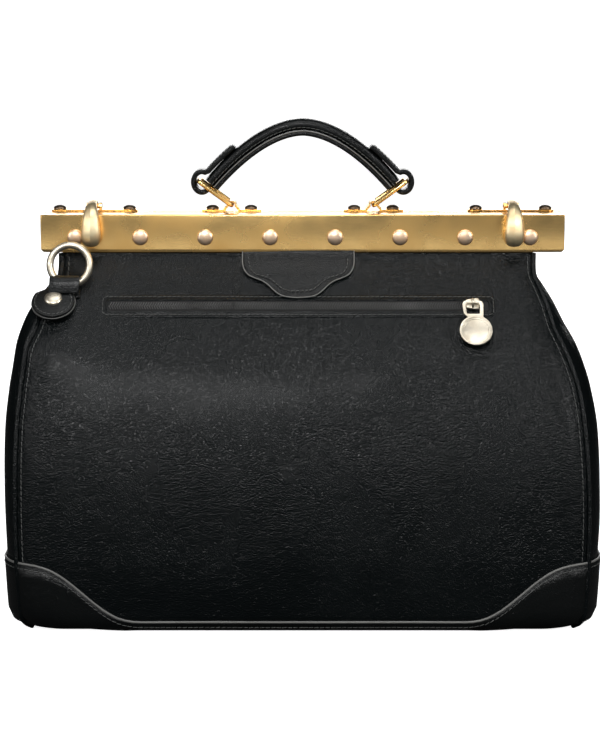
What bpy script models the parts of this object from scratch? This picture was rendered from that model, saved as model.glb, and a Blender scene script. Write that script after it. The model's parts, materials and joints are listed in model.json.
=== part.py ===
"""Leather doctor bag with a hinged brass frame: x along the bag, zip side at -y, z up, base at z = 0."""

import math

import bmesh
import bpy
from mathutils import Matrix, Vector

# Driving sizes, in metres
GAP = 0.0003
FRAME_HALF_LENGTH = 0.175
FRAME_TOP = 0.265
FRAME_BOTTOM = 0.240
FRAME_DEPTH = 0.0175
FRAME_MIDDLE = 0.0005
BRASS = 0.0012
RIVET_RADIUS = 0.0052
RIVET_PITCH = 0.0434
RIVET_HEIGHT = 0.250
LEG_X = 0.1480
PIVOT_HEIGHT = 0.178
LOWER_TOP = 0.158
PANEL_BOTTOM = 0.170
GUSSET_BOTTOM = 0.180
LEATHER = 0.0020
BASE_EDGE = 0.012
SEAM_ANGLE = 42.0
CLAW_X = 0.141
CLAW_PIN = (-0.0217, 0.2482)
CLAW_BAR = (0.0055, 0.2686)
SADDLE_X = 0.048
HANDLE_Y = 0.009
RING_LOW = 0.2695
RING_HIGH_X = 0.070
RING_HIGH = 0.2856
HANDLE_TOP = 0.3215
HANDLE_DROP = 0.0361
GRIP_HALF_LENGTH = 0.0590
ZIP_HEIGHT = 0.2067
ZIP_LEFT, ZIP_RIGHT = -0.131, 0.124
SLIDER_X = 0.112
STRAP_X = -0.154
STRAP_RING_RADIUS = 0.0131
STRAP_WIRE = 0.0024
TAB_TILT = 52.0
BACK_TAB_INSET = 0.024

# Half width and half depth of the leather body at each height
WIDTHS = [(0.0, 0.1925), (0.016, 0.194), (0.075, 0.1965), (0.128, 0.1945), (0.154, 0.191), (0.168, 0.187),
          (0.181, 0.182), (0.193, 0.176), (0.2085, 0.169), (0.219, 0.163), (0.226, 0.159), (0.245, 0.157)]
DEPTHS = [(0.0, 0.095), (0.05, 0.093), (0.10, 0.086), (0.14, 0.075), (0.18, 0.058), (0.2067, 0.040),
          (0.225, 0.026), (0.2385, 0.0162), (0.245, 0.0158)]


def clear_scene():
    for item in list(bpy.context.scene.objects):
        bpy.data.objects.remove(item, do_unlink=True)


def finish_material(name, color, roughness, metallic):
    material = bpy.data.materials.new(name)
    material.use_nodes = True
    shader = material.node_tree.nodes["Principled BSDF"]
    shader.inputs["Base Color"].default_value = (*color, 1)
    shader.inputs["Roughness"].default_value = roughness
    shader.inputs["Metallic"].default_value = metallic
    return material


clear_scene()
LEATHER_BLACK = finish_material("leather", (0.012, 0.013, 0.013), 0.35, 0)
BRASS_SATIN = finish_material("brass", (0.62, 0.42, 0.16), 0.35, 1)
RIVET_ROSE = finish_material("rivet_brass", (0.66, 0.45, 0.28), 0.3, 1)
BRONZE_DARK = finish_material("dark_bronze", (0.12, 0.08, 0.05), 0.4, 1)
NICKEL_PALE = finish_material("pale_nickel", (0.72, 0.68, 0.58), 0.25, 1)
STEEL = finish_material("steel", (0.5, 0.5, 0.5), 0.4, 1)
TAPE = finish_material("zip_tape", (0.015, 0.015, 0.016), 0.8, 0)
LINING = finish_material("lining", (0.09, 0.07, 0.05), 0.9, 0)
BOARD = finish_material("board", (0.2, 0.16, 0.11), 0.9, 0)


def curve_value(table, height):
    """Smooth value at a height: a Catmull-Rom curve through the table's points."""
    heights = [row[0] for row in table]
    last = len(table) - 2
    i = max(0, min(last, sum(height >= level for level in heights) - 1))
    span = heights[i + 1] - heights[i]
    t = min(1.0, max(0.0, (height - heights[i]) / span))
    slopes = []
    for k in (i, i + 1):
        low, high = max(0, k - 1), min(len(table) - 1, k + 1)
        slopes.append((table[high][1] - table[low][1]) / (heights[high] - heights[low]) * span)
    a, b = table[i][1], table[i + 1][1]
    return ((2 * t**3 - 3 * t**2 + 1) * a + (t**3 - 2 * t**2 + t) * slopes[0]
            + (3 * t**2 - 2 * t**3) * b + (t**3 - t**2) * slopes[1])


def half_width(height):
    return curve_value(WIDTHS, height)


def half_depth(height):
    return curve_value(DEPTHS, height)


def corner_radius(height):
    return min(0.030, half_depth(height) * 0.6)


def new_object(name, mesh, material):
    item = bpy.data.objects.new(name, mesh)
    mesh.materials.append(material)
    bpy.context.scene.collection.objects.link(item)
    return item


def from_bmesh(name, bm, material, smooth=True):
    bmesh.ops.recalc_face_normals(bm, faces=bm.faces)
    mesh = bpy.data.meshes.new(name)
    bm.to_mesh(mesh)
    bm.free()
    if smooth:
        mesh.shade_smooth()
        mesh.set_sharp_from_angle(angle=math.radians(35))
    return new_object(name, mesh, material)


def grid_solid(name, outer, inner, material):
    """Closed sheet between two equal grids of points, outer[row][column] and inner[row][column]."""
    bm = bmesh.new()
    sides = [[[bm.verts.new(point) for point in row] for row in grid] for grid in (outer, inner)]
    rows, columns = len(outer), len(outer[0])
    for side in sides:
        for r in range(rows - 1):
            for c in range(columns - 1):
                bm.faces.new((side[r][c], side[r][c + 1], side[r + 1][c + 1], side[r + 1][c]))
    rim = [(0, c) for c in range(columns)] + [(r, columns - 1) for r in range(1, rows)]
    rim += [(rows - 1, c) for c in range(columns - 2, -1, -1)] + [(r, 0) for r in range(rows - 2, 0, -1)]
    for here, after in zip(rim, rim[1:] + rim[:1]):
        bm.faces.new([sides[0][here[0]][here[1]], sides[0][after[0]][after[1]],
                      sides[1][after[0]][after[1]], sides[1][here[0]][here[1]]])
    return from_bmesh(name, bm, material)


def prism(name, outline, axis, low, high, material, smooth=True):
    """Solid of a flat outline along an axis. The outline's pairs are the two other coordinates, in x, y, z order."""
    def place(pair, along):
        point = list(pair)
        point.insert("xyz".index(axis), along)
        return point

    bm = bmesh.new()
    ends = [[bm.verts.new(place(pair, along)) for pair in outline] for along in (low, high)]
    count = len(outline)
    for end in ends:
        bm.faces.new(end)
    for i in range(count):
        j = (i + 1) % count
        bm.faces.new((ends[0][i], ends[0][j], ends[1][j], ends[1][i]))
    return from_bmesh(name, bm, material, smooth)


def arc(centre, radius, start, stop, steps):
    angles = [math.radians(start + (stop - start) * i / steps) for i in range(steps + 1)]
    return [(centre[0] + radius * math.cos(a), centre[1] + radius * math.sin(a)) for a in angles]


def rounded_box(name, low, high, radius, material, along="z", steps=3):
    """Box whose four edges along one axis are rounded."""
    k = "xyz".index(along)
    a, b = [i for i in range(3) if i != k]
    corners = [(high[a] - radius, high[b] - radius, 0), (low[a] + radius, high[b] - radius, 90),
               (low[a] + radius, low[b] + radius, 180), (high[a] - radius, low[b] + radius, 270)]
    outline = []
    for x, y, turn in corners:
        outline += arc((x, y), radius, turn, turn + 90, steps)
    return prism(name, outline, along, low[k], high[k], material)


def turned(name, profile, centre, direction, material, steps=16):
    """Solid of revolution: profile of (radius, height) pairs that starts and ends on the axis."""
    bm = bmesh.new()
    spin = Vector((0, 0, 1)).rotation_difference(Vector(direction)).to_matrix()
    rings = []
    for radius, height in profile:
        if radius == 0:
            rings.append([bm.verts.new(spin @ Vector((0, 0, height)) + Vector(centre))])
            continue
        ring = []
        for i in range(steps):
            a = 2 * math.pi * i / steps
            ring.append(bm.verts.new(spin @ Vector((radius * math.cos(a), radius * math.sin(a), height))
                                     + Vector(centre)))
        rings.append(ring)
    for low, high in zip(rings, rings[1:]):
        for i in range(steps):
            j = (i + 1) % steps
            if len(low) == 1:
                bm.faces.new((low[0], high[i], high[j]))
            elif len(high) == 1:
                bm.faces.new((low[i], high[0], low[j]))
            else:
                bm.faces.new((low[i], high[i], high[j], low[j]))
    return from_bmesh(name, bm, material)


def swept(name, path, radius, material, closed=False, sides=10, squash=1.0, side=Vector((0, 1, 0))):
    """Round or oval bar along a planar path; side is the normal of the path's plane."""
    bm = bmesh.new()
    rings = []
    count = len(path)
    for i, point in enumerate(path):
        before = path[(i - 1) % count] if closed or i else path[0]
        after = path[(i + 1) % count] if closed or i < count - 1 else path[-1]
        across = side.cross((Vector(after) - Vector(before)).normalized())
        ring = []
        for k in range(sides):
            a = 2 * math.pi * k / sides
            ring.append(bm.verts.new(Vector(point) + across * radius * math.cos(a)
                                     + side * radius * squash * math.sin(a)))
        rings.append(ring)
    pairs = list(zip(rings, rings[1:] + rings[:1] if closed else rings[1:]))
    for low, high in pairs:
        for k in range(sides):
            j = (k + 1) % sides
            bm.faces.new((low[k], low[j], high[j], high[k]))
    if not closed:
        bm.faces.new(rings[0])
        bm.faces.new(rings[-1])
    return from_bmesh(name, bm, material)


def cut(item, cutter, operation="DIFFERENCE"):
    cutter.hide_render = True
    cutter.display_type = "WIRE"
    step = item.modifiers.new("cut", "BOOLEAN")
    step.operation = operation
    step.object = cutter
    step.solver = "EXACT"


def dome(name, centre, direction, radius, height, shank_radius, shank, material, steps=16):
    """Domed rivet head whose flat underside is at the centre, with its shank behind it."""
    profile = [(0, height), (radius * 0.45, height * 0.90), (radius * 0.8, height * 0.58), (radius, height * 0.12),
               (radius, 0)]
    if shank:
        profile += [(shank_radius, 0), (shank_radius, -shank), (0, -shank)]
    else:
        profile += [(0, 0)]
    return turned(name, profile, centre, direction, material, steps)


# ---- Leather body: plan outline at a height, as point and inward direction along one quarter ----
def quarter(height, angle_from, angle_to, steps):
    """Corner arc of the plan outline in the +x, -y quarter; 0 degrees faces -y and 90 faces +x."""
    width, depth, radius = half_width(height), half_depth(height), corner_radius(height)
    points = []
    for i in range(steps + 1):
        a = math.radians(angle_from + (angle_to - angle_from) * i / steps)
        out = Vector((math.sin(a), -math.cos(a), 0))
        points.append((Vector((width - radius, -depth + radius, height)) + out * radius, out))
    return points


def slope_out(height, out):
    """Outward normal of the body, tilted by how the depth or width changes with height."""
    step = 0.002
    depth_change = (half_depth(height + step) - half_depth(height - step)) / (2 * step)
    width_change = (half_width(height + step) - half_width(height - step)) / (2 * step)
    lean = -(depth_change * abs(out.y) + width_change * abs(out.x))
    return Vector((out.x, out.y, lean)).normalized()


def panel_grid(heights, inset, edge=0.0003):
    """Front panel from seam to seam."""
    grid = []
    for height in heights:
        half = quarter(height, 0, SEAM_ANGLE, 4)
        left = [(Vector((-p.x, p.y, p.z)), Vector((-o.x, o.y, 0))) for p, o in reversed(half)]
        flat = []
        reach = half[0][0].x
        for i in range(1, 6):
            x = -reach + 2 * reach * i / 6
            flat.append((Vector((x, half[0][0].y, height)), Vector((0, -1, 0))))
        row = []
        for p, o in left + flat + half:
            row.append(p - slope_out(height, o) * inset)
        row[0] += Vector((edge, 0, 0))
        row[-1] -= Vector((edge, 0, 0))
        grid.append(row)
    return grid


def gusset_grid(heights, inset, middle=None, edge=0.0003):
    """End wall in +x, from the front seam round to the back seam, or only as far as y = -middle."""
    grid = []
    for height in heights:
        corner = quarter(height, SEAM_ANGLE, 90, 4)
        row = []
        for k, (p, o) in enumerate(corner):
            place = p - slope_out(height, o) * inset
            if k == 0:
                place += Vector((edge, edge, 0))
            row.append(place)
        end = row[-1]
        if middle is None:
            row += [Vector((end.x, end.y * (1 - i / 3), end.z)) for i in (1, 2, 3)]
            row += [Vector((p.x, -p.y, p.z)) for p in reversed(row[:-1])]
        else:
            row += [Vector((end.x, end.y + (-middle - end.y) * i / 3, end.z)) for i in (1, 2, 3)]
        grid.append(row)
    return grid


def flip_grid(grid, x=1, y=1):
    return [[Vector((p.x * x, p.y * y, p.z)) for p in row] for row in grid]


def spread(low, high, count):
    return [low + (high - low) * i / count for i in range(count + 1)]


LOWER = spread(BASE_EDGE + GAP, LOWER_TOP, 12)
UPPER = spread(PANEL_BOTTOM, 0.2385, 7) + [0.2445]
panel_outer, panel_inner = panel_grid(LOWER, 0), panel_grid(LOWER, LEATHER)
grid_solid("front_panel_lower", panel_outer, panel_inner, LEATHER_BLACK)
grid_solid("back_panel_lower", flip_grid(panel_outer, y=-1), flip_grid(panel_inner, y=-1), LEATHER_BLACK)
gusset_outer, gusset_inner = gusset_grid(LOWER, 0), gusset_grid(LOWER, LEATHER)
grid_solid("gusset_right_lower", gusset_outer, gusset_inner, LEATHER_BLACK)
grid_solid("gusset_left_lower", flip_grid(gusset_outer, x=-1), flip_grid(gusset_inner, x=-1), LEATHER_BLACK)
for side, sign in (("front", 1), ("back", -1)):
    outer, inner = panel_grid(UPPER, 0), panel_grid(UPPER, LEATHER * 0.7)
    grid_solid(side + "_panel_upper", flip_grid(outer, y=sign), flip_grid(inner, y=sign), LEATHER_BLACK)
    heights = spread(GUSSET_BOTTOM, FRAME_BOTTOM - GAP, 6)
    outer, inner = gusset_grid(heights, 0, 0.0008), gusset_grid(heights, LEATHER * 0.7, 0.0008)
    for end, turn in (("left", -1), ("right", 1)):
        grid_solid(f"{side}_gusset_{end}", flip_grid(outer, turn, sign), flip_grid(inner, turn, sign), LEATHER_BLACK)


# ---- Base: shallow tray with a rolled edge, and a board inside it ----
def plan_loop(height, shrink):
    """Whole plan outline of the base, shrunk inward."""
    width, depth = half_width(height) - shrink, half_depth(height) - shrink
    radius = corner_radius(height) - shrink
    loop = []
    for sx, sy, turn in ((1, -1, -90), (1, 1, 0), (-1, 1, 90), (-1, -1, 180)):
        loop += arc((sx * (width - radius), sy * (depth - radius)), radius, turn, turn + 90, 5)
    return loop


def tray(name, rings, material):
    """Solid from a stack of plan loops, capped at its first and last loop."""
    bm = bmesh.new()
    loops = []
    for height, shrink in rings:
        loops.append([bm.verts.new((x, y, height)) for x, y in plan_loop(BASE_EDGE, shrink)])
    for low, high in zip(loops, loops[1:]):
        for i in range(len(low)):
            j = (i + 1) % len(low)
            bm.faces.new((low[i], low[j], high[j], high[i]))
    bm.faces.new(loops[0])
    bm.faces.new(loops[-1])
    return from_bmesh(name, bm, material)


tray("base_panel", [(0, 0.0100), (0.0008, 0.0062), (0.0030, 0.0030), (0.0062, 0.0009), (BASE_EDGE, 0),
                    (BASE_EDGE, LEATHER), (0.0060, 0.0034), (0.0030, 0.0075)], LEATHER_BLACK)
tray("base_board", [(0.0030 + GAP, 0.0085), (0.0050, 0.0085)], BOARD)


# ---- Lining and the zip pocket's pouch, both inside the lower body ----
def inner_wall(heights, inset, material, name):
    bm = bmesh.new()
    loops = []
    for heights_now, extra in ((heights, 0), (list(reversed(heights)), 0.0008)):
        for height in heights_now:
            width, depth = half_width(height) - inset - extra, half_depth(height) - inset - extra
            radius = corner_radius(height) - inset - extra
            loop = []
            for sx, sy, turn in ((1, -1, -90), (1, 1, 0), (-1, 1, 90), (-1, -1, 180)):
                loop += arc((sx * (width - radius), sy * (depth - radius)), radius, turn, turn + 90, 3)
            loops.append([bm.verts.new((x, y, height)) for x, y in loop])
    for low, high in zip(loops, loops[1:] + loops[:1]):
        for i in range(len(low)):
            j = (i + 1) % len(low)
            bm.faces.new((low[i], low[j], high[j], high[i]))
    return from_bmesh(name, bm, material)


inner_wall(spread(0.015, 0.150, 6), 0.0060, LINING, "lining")
pouch_heights = spread(0.055, 0.150, 5)
pouch = []
for inset in (0.0028, 0.0042):
    pouch.append([[Vector((x, -half_depth(h) + inset * 1.12, h)) for x in spread(-0.120, 0.112, 4)]
                  for h in pouch_heights])
grid_solid("pocket_pouch", pouch[0], pouch[1], LINING)


# ---- Frame halves: inverted brass channels with rivets along the face ----
rivet_places = [RIVET_PITCH * (i - 3.5) for i in range(8)]
for side, sign in (("front", -1), ("back", 1)):
    near, far = sorted((sign * FRAME_MIDDLE, sign * FRAME_DEPTH))
    frame = rounded_box(side + "_frame", (-FRAME_HALF_LENGTH, near, FRAME_BOTTOM),
                        (FRAME_HALF_LENGTH, far, FRAME_TOP), 0.0025, BRASS_SATIN)
    hollow = rounded_box(side + "_hollow", (-FRAME_HALF_LENGTH + BRASS, near + BRASS, FRAME_BOTTOM - 0.01),
                         (FRAME_HALF_LENGTH - BRASS, far - BRASS, FRAME_TOP - BRASS), 0.0015, BRASS_SATIN)
    cut(frame, hollow)
    face = sign * FRAME_DEPTH
    strip_y = sorted((sign * (FRAME_DEPTH - 0.0022), sign * (FRAME_DEPTH - 0.0032)))
    strip = rounded_box(side + "_rivet_strip", (-0.160, strip_y[0], 0.2465), (0.160, strip_y[1], 0.2600), 0.001,
                        RIVET_ROSE, along="y")
    for x in rivet_places:
        hole = turned("hole", [(0, 0.004), (0.0023, 0.004), (0.0023, -0.004), (0, -0.004)],
                      (x, face, RIVET_HEIGHT), (0, sign, 0), BRASS_SATIN, 12)
        cut(frame, hole)
        rivet = dome("rivet", (x, face + sign * GAP, RIVET_HEIGHT), (0, sign, 0), RIVET_RADIUS, 0.0026,
                     0.0019, 0.0029, RIVET_ROSE, 16)
        cut(strip, rivet, "UNION")

    # Steel legs in the bag's ends, pinned together on the frame's pivot
    low_x = LEG_X - 0.0021 if side == "front" else LEG_X + 0.0003
    for end, turn in (("left", -1), ("right", 1)):
        outline = arc((0, PIVOT_HEIGHT), 0.0050, 180, 360, 8)
        blade = [(0.0126, 0.215), (0.0135, 0.2632), (0.0024, 0.2632), (0.0024, 0.215)]
        outline += blade if sign > 0 else [(-y, z) for y, z in reversed(blade)]
        span = sorted((turn * low_x, turn * (low_x + 0.0018)))
        leg = prism(f"{side}_leg_{end}", outline, "x", span[0], span[1], STEEL)
        hole = turned("hole", [(0, 0.01), (0.00215, 0.01), (0.00215, -0.01), (0, -0.01)],
                      (turn * LEG_X, 0, PIVOT_HEIGHT), (1, 0, 0), STEEL, 16)
        cut(leg, hole)
for end, turn in (("left", -1), ("right", 1)):
    turned("pivot_pin_" + end, [(0, -0.0038), (0.0034, -0.0038), (0.0038, -0.0030), (0.0038, -0.0023),
                                (0.0020, -0.0023), (0.0020, 0.0025), (0.0038, 0.0025), (0.0038, 0.0032),
                                (0.0034, 0.0040), (0, 0.0040)],
           (turn * LEG_X, 0, PIVOT_HEIGHT), (turn, 0, 0), STEEL)


# ---- Tongue of leather under the middle of the front frame ----
def panel_point(x, height, lift):
    """Point over the flat of the front panel, lifted square to the leather."""
    return Vector((x, -half_depth(height), height)) + slope_out(height, Vector((0, -1, 0))) * lift


def level_point(x, height, lift):
    """Point at a height, lifted by the same clearance but straight out along -y."""
    out = slope_out(height, Vector((0, -1, 0)))
    return Vector((x, -half_depth(height) + lift / out.y, height))


def tongue_half_width(t):
    """t = 0 at the frame, 1 at the rounded tip."""
    return 0.036 * (1 - t) ** 0.5 if t > 0.62 else 0.036 * (1 - 0.383 * (t / 0.62) ** 3)


tongue_heights = [FRAME_BOTTOM - 0.0004 - (FRAME_BOTTOM - 0.2126) * t for t in (0, 0.15, 0.35, 0.55, 0.7, 0.84, 0.93, 0.985)]
tongue = []
for lift in (0.0024, 0.0005):
    grid = []
    for height in tongue_heights:
        t = (FRAME_BOTTOM - 0.0004 - height) / (FRAME_BOTTOM - 0.2126)
        reach = tongue_half_width(t)
        grid.append([level_point(x, height, lift) for x in spread(-reach, reach, 4)])
    tongue.append(grid)
grid_solid("front_tongue", tongue[0], tongue[1], LEATHER_BLACK)

# ---- Long zip of the outside pocket ----
tape = []
for lift in (0.0019, 0.0004):
    tape.append([[panel_point(x, h, lift) for x in spread(ZIP_LEFT, ZIP_RIGHT, 2)]
                 for h in spread(ZIP_HEIGHT - 0.0040, ZIP_HEIGHT + 0.0040, 4)])
grid_solid("zip_tape", tape[0], tape[1], TAPE)
zip_out = slope_out(ZIP_HEIGHT, Vector((0, -1, 0)))
zip_up = Vector((1, 0, 0)).cross(zip_out)
if zip_up.z < 0:
    zip_up = -zip_up
zip_base = panel_point(0, ZIP_HEIGHT, 0)


def on_zip(x, up, lift):
    return zip_base + Vector((x, 0, 0)) + zip_up * up + zip_out * lift


def tilted_prism(name, outline, lift_low, lift_high, material, place=on_zip):
    bm = bmesh.new()
    ends = [[bm.verts.new(place(x, up, lift)) for x, up in outline] for lift in (lift_low, lift_high)]
    for end in ends:
        bm.faces.new(end)
    for i in range(len(outline)):
        j = (i + 1) % len(outline)
        bm.faces.new((ends[0][i], ends[0][j], ends[1][j], ends[1][i]))
    return from_bmesh(name, bm, material)


body_outline = [(SLIDER_X - 0.0045, -0.0030), (SLIDER_X + 0.0045, -0.0042), (SLIDER_X + 0.0045, 0.0042),
                (SLIDER_X - 0.0045, 0.0030)]
slider = tilted_prism("zip_slider", body_outline, 0.0023, 0.0048, NICKEL_PALE)
bail_path = [on_zip(SLIDER_X, up, lift) for up, lift in ((-0.0026, 0.0045), (-0.0026, 0.0070), (-0.0014, 0.0083),
                                                       (0.0014, 0.0083), (0.0026, 0.0070), (0.0026, 0.0045))]
bail = swept("bail", bail_path, 0.0007, NICKEL_PALE, sides=8, side=Vector((1, 0, 0)))
cut(slider, bail, "UNION")

# Tag on the slider: a loop round the bail and a coin below it
tag_outline = []
tag_disc = Vector((SLIDER_X + 0.0015, -0.0207))
tag_outline += arc(tag_disc, 0.01075, 118, 422, 22)
tag_outline += [(SLIDER_X + 0.0060, -0.0090), (SLIDER_X + 0.0060, 0.0009), (SLIDER_X - 0.0060, 0.0009),
                (SLIDER_X - 0.0060, -0.0090)]
tag = tilted_prism("zip_tag", tag_outline, 0.0056, 0.0070, NICKEL_PALE)
window = [(SLIDER_X + x, u) for x, u in ((-0.0042, -0.0086), (0.0042, -0.0086), (0.0042, -0.0009), (-0.0042, -0.0009))]
cut(tag, tilted_prism("tag_window", window, 0.003, 0.010, NICKEL_PALE))


# ---- Strap tabs and their rings, at the front left and the back right ----
tab_slope = math.radians(TAB_TILT)
tab_up = Vector((0, math.sin(tab_slope), math.cos(tab_slope)))
tab_out = Vector((0, -math.cos(tab_slope), math.sin(tab_slope)))
tab_base = Vector((0, -0.0412, 0.2115))
EYE_UP, EYE_LIFT = 0.0090, 0.0050


def on_tab(x, up, lift):
    return tab_base + Vector((x, 0, 0)) + tab_up * up + tab_out * lift


def tab_pieces(side, sign):
    turn = Matrix.Rotation(math.pi if sign > 0 else 0, 3, "Z")

    def place(x, up, lift):
        return turn @ on_tab(x + (BACK_TAB_INSET if sign > 0 else 0), up, lift)

    outline = arc((-0.1640, -0.0050), 0.0152, 140, 395, 16)
    outline += [(-0.1485, EYE_UP - 0.0045), (-0.1600, EYE_UP - 0.0035)]
    tab = tilted_prism("strap_tab_" + side, outline, 0.0004, 0.0044, LEATHER_BLACK, place)
    eye = [(u + EYE_UP, w + EYE_LIFT) for u, w in arc((0, 0), 0.0060, -176, 176, 16)]
    eye += [(u + EYE_UP, w + EYE_LIFT) for u, w in arc((0, 0), 0.0043, 172, -172, 16)]
    bm = bmesh.new()
    ends = [[bm.verts.new(place(x, u, w)) for u, w in eye] for x in (-0.1600, -0.1480)]
    for end in ends:
        bm.faces.new(end)
    for i in range(len(eye)):
        j = (i + 1) % len(eye)
        bm.faces.new((ends[0][i], ends[0][j], ends[1][j], ends[1][i]))
    cut(tab, from_bmesh("eye", bm, LEATHER_BLACK), "UNION")
    dome("strap_tab_rivet_" + side, place(-0.1640, -0.0030, 0.0047), turn @ tab_out, 0.0060, 0.0026, 0, 0, NICKEL_PALE)
    hinge = place(STRAP_X, EYE_UP, EYE_LIFT)
    lean = turn @ Vector((0, math.sin(math.radians(12)), math.cos(math.radians(12))))
    centre = hinge + lean * STRAP_RING_RADIUS
    across = turn @ Vector((1, 0, 0))
    ring = [centre + (across * math.sin(a) - lean * math.cos(a)) * STRAP_RING_RADIUS
            for a in (2 * math.pi * i / 32 for i in range(32))]
    swept("strap_ring_" + side, ring, STRAP_WIRE, NICKEL_PALE, closed=True, sides=10, side=across.cross(lean))


tab_pieces("front", -1)
tab_pieces("back", 1)


# ---- Claws on the front half and their keepers on the back half ----
def claw_outline():
    """Side view of the claw: knob round the pin, arm over the frame, and a hook behind the keeper's bar."""
    py, pz = CLAW_PIN
    reach = math.hypot(CLAW_BAR[0] - py, CLAW_BAR[1] - pz) + 0.00175 + 0.0005
    knob = arc(CLAW_PIN, 0.0037, 350, 180, 10)
    front = [(py - 0.0050, 0.2530), (py - 0.0048, 0.2580), (py - 0.0030, 0.2645), (py + 0.0010, 0.2705),
             (py + 0.0070, 0.2736), (py + 0.0150, 0.2744), (py + 0.0230, 0.2740)]
    hook_out = arc(CLAW_PIN, reach + 0.0024, 41, 31.0, 5)
    hook_in = arc(CLAW_PIN, reach, 31.2, 40.5, 4)
    under = [(CLAW_BAR[0], 0.27145), (CLAW_BAR[0] - 0.010, 0.2712), (py + 0.0085, 0.2695), (py + 0.0041, 0.2664),
             (py + 0.0037, 0.2630)]
    return knob + front + hook_out + hook_in + under


def claw_half_width(height, y):
    """Half width along x: widest at the drop, narrow over the frame."""
    if y > -0.010:
        return 0.0023
    t = max(0.0, min(1.0, (height - 0.2540) / 0.0160))
    low = max(0.0, min(1.0, (0.2530 - height) / 0.0085))
    return 0.0053 - 0.0029 * t - 0.0019 * low


for end, turn in (("left", -1), ("right", 1)):
    cx = turn * CLAW_X
    claw = prism("claw_" + end, claw_outline(), "x", -1, 1, RIVET_ROSE)
    for vertex in claw.data.vertices:
        vertex.co.x = cx + vertex.co.x * claw_half_width(vertex.co.z, vertex.co.y)
    py, pz = CLAW_PIN
    slot = [(py + 0.0060, pz + 0.0034)] + arc(CLAW_PIN, 0.0034, 90, 170, 5)
    slot += [(py + 0.0065 * math.cos(math.radians(a)), pz + 0.0065 * math.sin(math.radians(a)))
             for a in (245, 270, 300, 330, 360)]
    cut(claw, prism("claw_slot", slot, "x", cx - 0.0019, cx + 0.0019, BRASS_SATIN))
    cut(claw, turned("pin_hole", [(0, 0.01), (0.00125, 0.01), (0.00125, -0.01), (0, -0.01)], (cx, py, pz), (1, 0, 0),
                     BRASS_SATIN, 12))
    lug = arc(CLAW_PIN, 0.0028, 90, 270, 8) + [(-FRAME_DEPTH - GAP, pz - 0.0028), (-FRAME_DEPTH - GAP, pz + 0.0028)]
    bracket = prism("claw_bracket_" + end, lug, "x", cx - 0.0015, cx + 0.0015, BRASS_SATIN)
    cut(bracket, turned("lug_hole", [(0, 0.01), (0.00125, 0.01), (0.00125, -0.01), (0, -0.01)], (cx, py, pz),
                        (1, 0, 0), BRASS_SATIN, 12))
    turned("claw_pin_" + end, [(0, 0.0035), (0.0011, 0.0035), (0.0011, -0.0035), (0, -0.0035)], (cx, py, pz),
           (1, 0, 0), STEEL, 12)

    top = FRAME_TOP + GAP
    plate = rounded_box("keeper_" + end, (cx - 0.029, 0.0030, top), (cx + 0.029, 0.0155, top + 0.0009), 0.003,
                        BRASS_SATIN)
    by, bz = CLAW_BAR
    for face in (-1, 1):
        ear = [(by - 0.0022, top + 0.0004)] + [(y, z) for y, z in arc((by, bz), 0.0022, 180, 0, 6)]
        ear += [(by + 0.0022, top + 0.0004)]
        span = sorted((cx + face * 0.0036, cx + face * 0.0052))
        cut(plate, prism("ear", ear, "x", span[0], span[1], BRASS_SATIN), "UNION")
    bar = turned("bar", [(0, 0.0046), (0.00175, 0.0046), (0.00175, -0.0046), (0, -0.0046)], (cx, by, bz), (1, 0, 0),
                 BRASS_SATIN, 12)
    cut(plate, bar, "UNION")
    for face, label in ((-1, "outer" if turn < 0 else "inner"), (1, "inner" if turn < 0 else "outer")):
        dome(f"keeper_rivet_{end}_{label}", (cx + face * 0.0236, 0.0092, top + 0.0012), (0, 0, 1), 0.0042, 0.0026, 0,
             0, BRONZE_DARK, 14)


# ---- Handle: saddles on the back half, rings, leather chapes and a padded grip ----
def handle_line(x):
    """Height of the handle's centre line."""
    return HANDLE_TOP - HANDLE_DROP * abs(x / GRIP_HALF_LENGTH) ** 1.82


def line_frame(x):
    slope = (handle_line(x + 0.0005) - handle_line(x - 0.0005)) / 0.001
    along = Vector((1, 0, slope)).normalized()
    return Vector((x, HANDLE_Y, handle_line(x))), Vector((-along.z, 0, along.x))


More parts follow.
